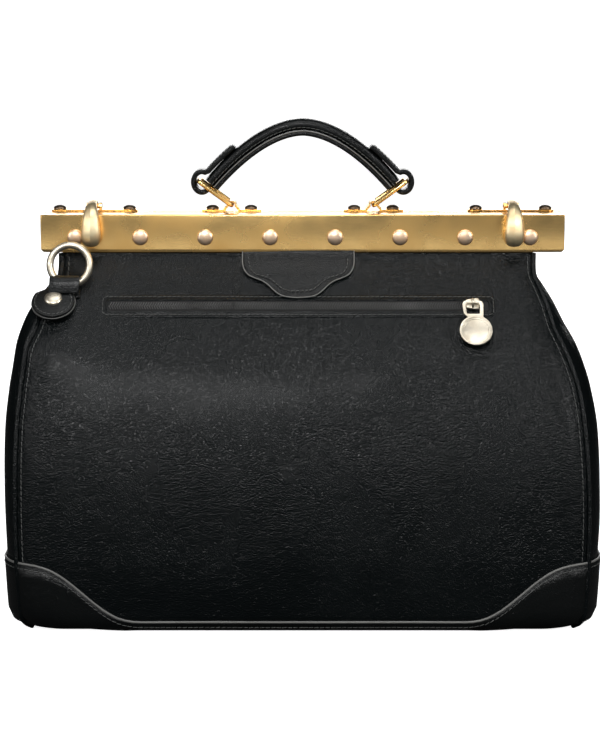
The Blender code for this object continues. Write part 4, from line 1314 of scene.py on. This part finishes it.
def by_slider(x, up, lift):
    return slider_base + Vector((SLIDER_X + x, 0, 0)) + zip_up * up + zip_normal * lift


def plate(name, outline, low, high, place, material, bevel=0.0003, rim=None):
    """A flat plate cut to an outline and bevelled, with its place in its mesh."""
    deselect()
    bpy.ops.mesh.primitive_circle_add(vertices=len(outline), radius=1, fill_type="NGON")
    flat = bpy.context.object
    flat.name = name
    for vertex, (x, up) in zip(flat.data.vertices, outline):
        vertex.co = (x, up, low)
    bpy.ops.object.mode_set(mode="EDIT")
    bpy.ops.mesh.select_all(action="SELECT")
    bpy.ops.mesh.extrude_region_move(TRANSFORM_OT_translate={"value": (0, 0, high - low)})
    bpy.ops.mesh.select_all(action="SELECT")
    bpy.ops.mesh.normals_make_consistent(inside=False)
    bpy.ops.object.mode_set(mode="OBJECT")
    if rim:
        rim(flat)
    edge = flat.modifiers.new("edge", "BEVEL")
    edge.width, edge.segments, edge.limit_method = bevel, 3, "ANGLE"
    edge.angle_limit = math.radians(50)
    apply_all(flat)
    for vertex in flat.data.vertices:
        vertex.co = place(*vertex.co)
    activate(flat)
    bpy.ops.object.mode_set(mode="EDIT")
    bpy.ops.mesh.select_all(action="SELECT")
    bpy.ops.mesh.normals_make_consistent(inside=False)
    bpy.ops.object.mode_set(mode="OBJECT")
    flat.data.materials.append(material)
    bpy.ops.object.shade_smooth_by_angle(angle=math.radians(40))
    return flat


wedge = plate("slider_body", [(-0.0046, -0.0028), (-0.0026, -0.0034), (0.0030, -0.0042), (0.0046, -0.0036),
                              (0.0046, 0.0036), (0.0030, 0.0042), (-0.0026, 0.0034), (-0.0046, 0.0028)],
              0.0022, 0.0047, by_slider, PALE_NICKEL, 0.0006)
bail_path = [by_slider(0, 0.0026 * math.cos(a) * (1.05 if i in (0, 12) else 1), 0.0050 + 0.0033 * math.sin(a))
             for i, a in enumerate(math.pi * i / 12 for i in range(13))]
bail_path = [by_slider(0, 0.0027, 0.0040)] + bail_path + [by_slider(0, -0.0027, 0.0040)]
bail = round_bar("slider_bail", bail_path, 0.0007, 12, material=PALE_NICKEL)
slider = joined("slider", [wedge, bail])
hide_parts("zip_slider")
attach(slider, "zip_slider")

# Tag: a coin with a raised rim and a plain sunk face, and a window at its top for the bail
TAG_RADIUS = 0.01075
tag_centre = (0.0015, -0.0207)
tag_outline = []
for i in range(49):
    a = math.radians(118 + (422 - 118) * i / 48)
    tag_outline.append((tag_centre[0] + TAG_RADIUS * math.cos(a), tag_centre[1] + TAG_RADIUS * math.sin(a)))
tag_outline += [(0.0068, -0.0085), (0.0070, -0.0020)]
for i in range(7):
    a = math.radians(i * 15)
    tag_outline.append((0.0042 + 0.0027 * math.cos(a), -0.0018 + 0.0027 * math.sin(a)))
for i in range(7):
    a = math.radians(90 + i * 15)
    tag_outline.append((-0.0042 + 0.0027 * math.cos(a), -0.0018 + 0.0027 * math.sin(a)))
tag_outline += [(-0.0070, -0.0020), (-0.0062, -0.0085)]


def carve_tag(flat):
    """Cut the window and sink the coin's face, leaving a rim with a fine ring inside it."""
    activate(flat)
    cutters = []
    window = [(-0.0042, -0.0088), (0.0042, -0.0088), (0.0046, -0.0030), (0.0040, -0.0009), (-0.0040, -0.0009),
              (-0.0046, -0.0030)]
    flat_place = lambda x, y, z: Vector((x, y, z))
    cutters.append(plate("cutter", window, 0.003, 0.009, flat_place, PALE_NICKEL, 0.0004))
    for radius, depth in ((0.0093, 0.0004), (0.0082, 0.0008)):
        deselect()
        bpy.ops.mesh.primitive_cylinder_add(vertices=64, radius=radius, depth=0.002)
        disc = bpy.context.object
        for vertex in disc.data.vertices:
            vertex.co += Vector((*tag_centre, TAG_FACE + 0.001 - depth))
        cutters.append(disc)
    for cutter in cutters:
        step = flat.modifiers.new("cut", "BOOLEAN")
        step.operation, step.object, step.solver = "DIFFERENCE", cutter, "EXACT"
        apply_all(flat)
        bpy.data.objects.remove(cutter)
    activate(flat)


TAG_FACE = 0.0071
tag = plate("coin_tag", tag_outline, 0.0055, TAG_FACE, by_slider, PALE_NICKEL, 0.00025, rim=carve_tag)
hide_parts("zip_tag")
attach(tag, "zip_tag")


# ---- Strap tabs and rings ---------------------------------------------------------------------
# At the front left and the back right a thick round-ended leather tab, riveted through, holds a round
# wire ring for a shoulder strap in a loop folded from its own neck.
TAB_TILT = math.radians(52)
RING_JOINT = joint_place("strap_ring_front_swing")
EYE_UP, EYE_LIFT = 0.0090, 0.0050
tab_up = Vector((0, math.sin(TAB_TILT), math.cos(TAB_TILT)))
tab_out = Vector((0, -math.cos(TAB_TILT), math.sin(TAB_TILT)))
tab_base = Vector((0, RING_JOINT.y, RING_JOINT.z)) - tab_up * EYE_UP - tab_out * EYE_LIFT
TAB_X, TAB_RADIUS = -0.1640, 0.0143
BACK_INSET = abs(RING_JOINT.x) - abs(joint_place("strap_ring_back_swing").x)
STRAP_RING, STRAP_WIRE = 0.0131, 0.0024

for side, half_turn in (("front", 1), ("back", -1)):

    def on_tab(x, up, lift):
        inset = BACK_INSET if half_turn < 0 else 0
        spot = tab_base + Vector((x + inset, 0, 0)) + tab_up * up + tab_out * lift
        return Vector((spot.x * half_turn, spot.y * half_turn, spot.z))

    outline = []
    for i in range(33):
        a = math.radians(148 + (392 - 148) * i / 32)
        outline.append((TAB_X + TAB_RADIUS * math.cos(a), -0.0048 + TAB_RADIUS * math.sin(a)))
    outline += [(-0.1482, 0.0060), (-0.1482, 0.0085), (-0.1672, 0.0085), (-0.1700, 0.0060)]
    lower_ply = plate(f"strap_tab_{side}_lower", outline, 0.0003, 0.0022, on_tab, STRAP_LEATHER, 0.0005)
    upper_outline = [(x * 0.985 + TAB_X * 0.015, y * 0.985) for x, y in outline]
    upper_ply = plate(f"strap_tab_{side}_upper", upper_outline, 0.00215, 0.0043, on_tab, STRAP_LEATHER,
                      0.0006)
    eye_path = []
    for i in range(19):
        a = math.radians(-118 + 236 * i / 18)
        eye_path.append(on_tab(-0.1570, EYE_UP + 0.0052 * math.cos(a), EYE_LIFT + 0.0052 * math.sin(a)))
    eye_path = [on_tab(-0.1570, 0.0010, 0.0006)] + eye_path + [on_tab(-0.1575, 0.0010, 0.0050)]
    neck = strap(f"strap_tab_{side}_neck", eye_path, 0.0100, 0.0018, STRAP_LEATHER, axis=Vector((1, 0, 0)))
    tab = joined("strap_tab_leather_" + side, [lower_ply, upper_ply, neck])
    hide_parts("strap_tab_" + side)
    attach(tab, side + "_half")
    ply_line = [on_tab(x, y, 0.0022) for x, y in outline[:-3]]
    edge = round_bar("strap_tab_edge_" + side, ply_line, 0.0003, 6, material=EDGE_PAINT_AND_SHEEN)
    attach(edge, side + "_half")
    sewn = []
    for i in range(31):
        a = math.radians(140 + (400 - 140) * i / 30)
        spot = (TAB_X + (TAB_RADIUS - 0.0022) * math.cos(a), -0.0048 + (TAB_RADIUS - 0.0022) * math.sin(a))
        sewn.append((on_tab(*spot, 0.0043), tab_out * half_turn if half_turn > 0 else
                     Vector((0, -tab_out.y, tab_out.z))))
    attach(stitch_row("strap_tab_stitches_" + side, sewn, pitch=0.0030, length=0.0021), side + "_half")
    out = Vector((0, tab_out.y * half_turn, tab_out.z))
    head = domed_head(on_tab(TAB_X, -0.0030, 0.0043), out, 0.0060, 0.0024, PALE_NICKEL)
    head.name = "strap_tab_head_" + side
    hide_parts("strap_tab_rivet_" + side)
    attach(head, side + "_half")

    hinge = on_tab(RING_JOINT.x, EYE_UP, EYE_LIFT)
    tip = Vector((0, math.sin(math.radians(12)) * half_turn, math.cos(math.radians(12))))
    centre = hinge + tip * STRAP_RING
    wire = [centre + (Vector((math.sin(a), 0, 0)) - tip * math.cos(a)) * STRAP_RING
            for a in (2 * math.pi * i / 72 for i in range(72))]
    ring = round_bar("strap_wire_ring_" + side, wire, STRAP_WIRE, 20, closed=True, material=PALE_NICKEL)
    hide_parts("strap_ring_" + side)
    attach(ring, "strap_ring_" + side)
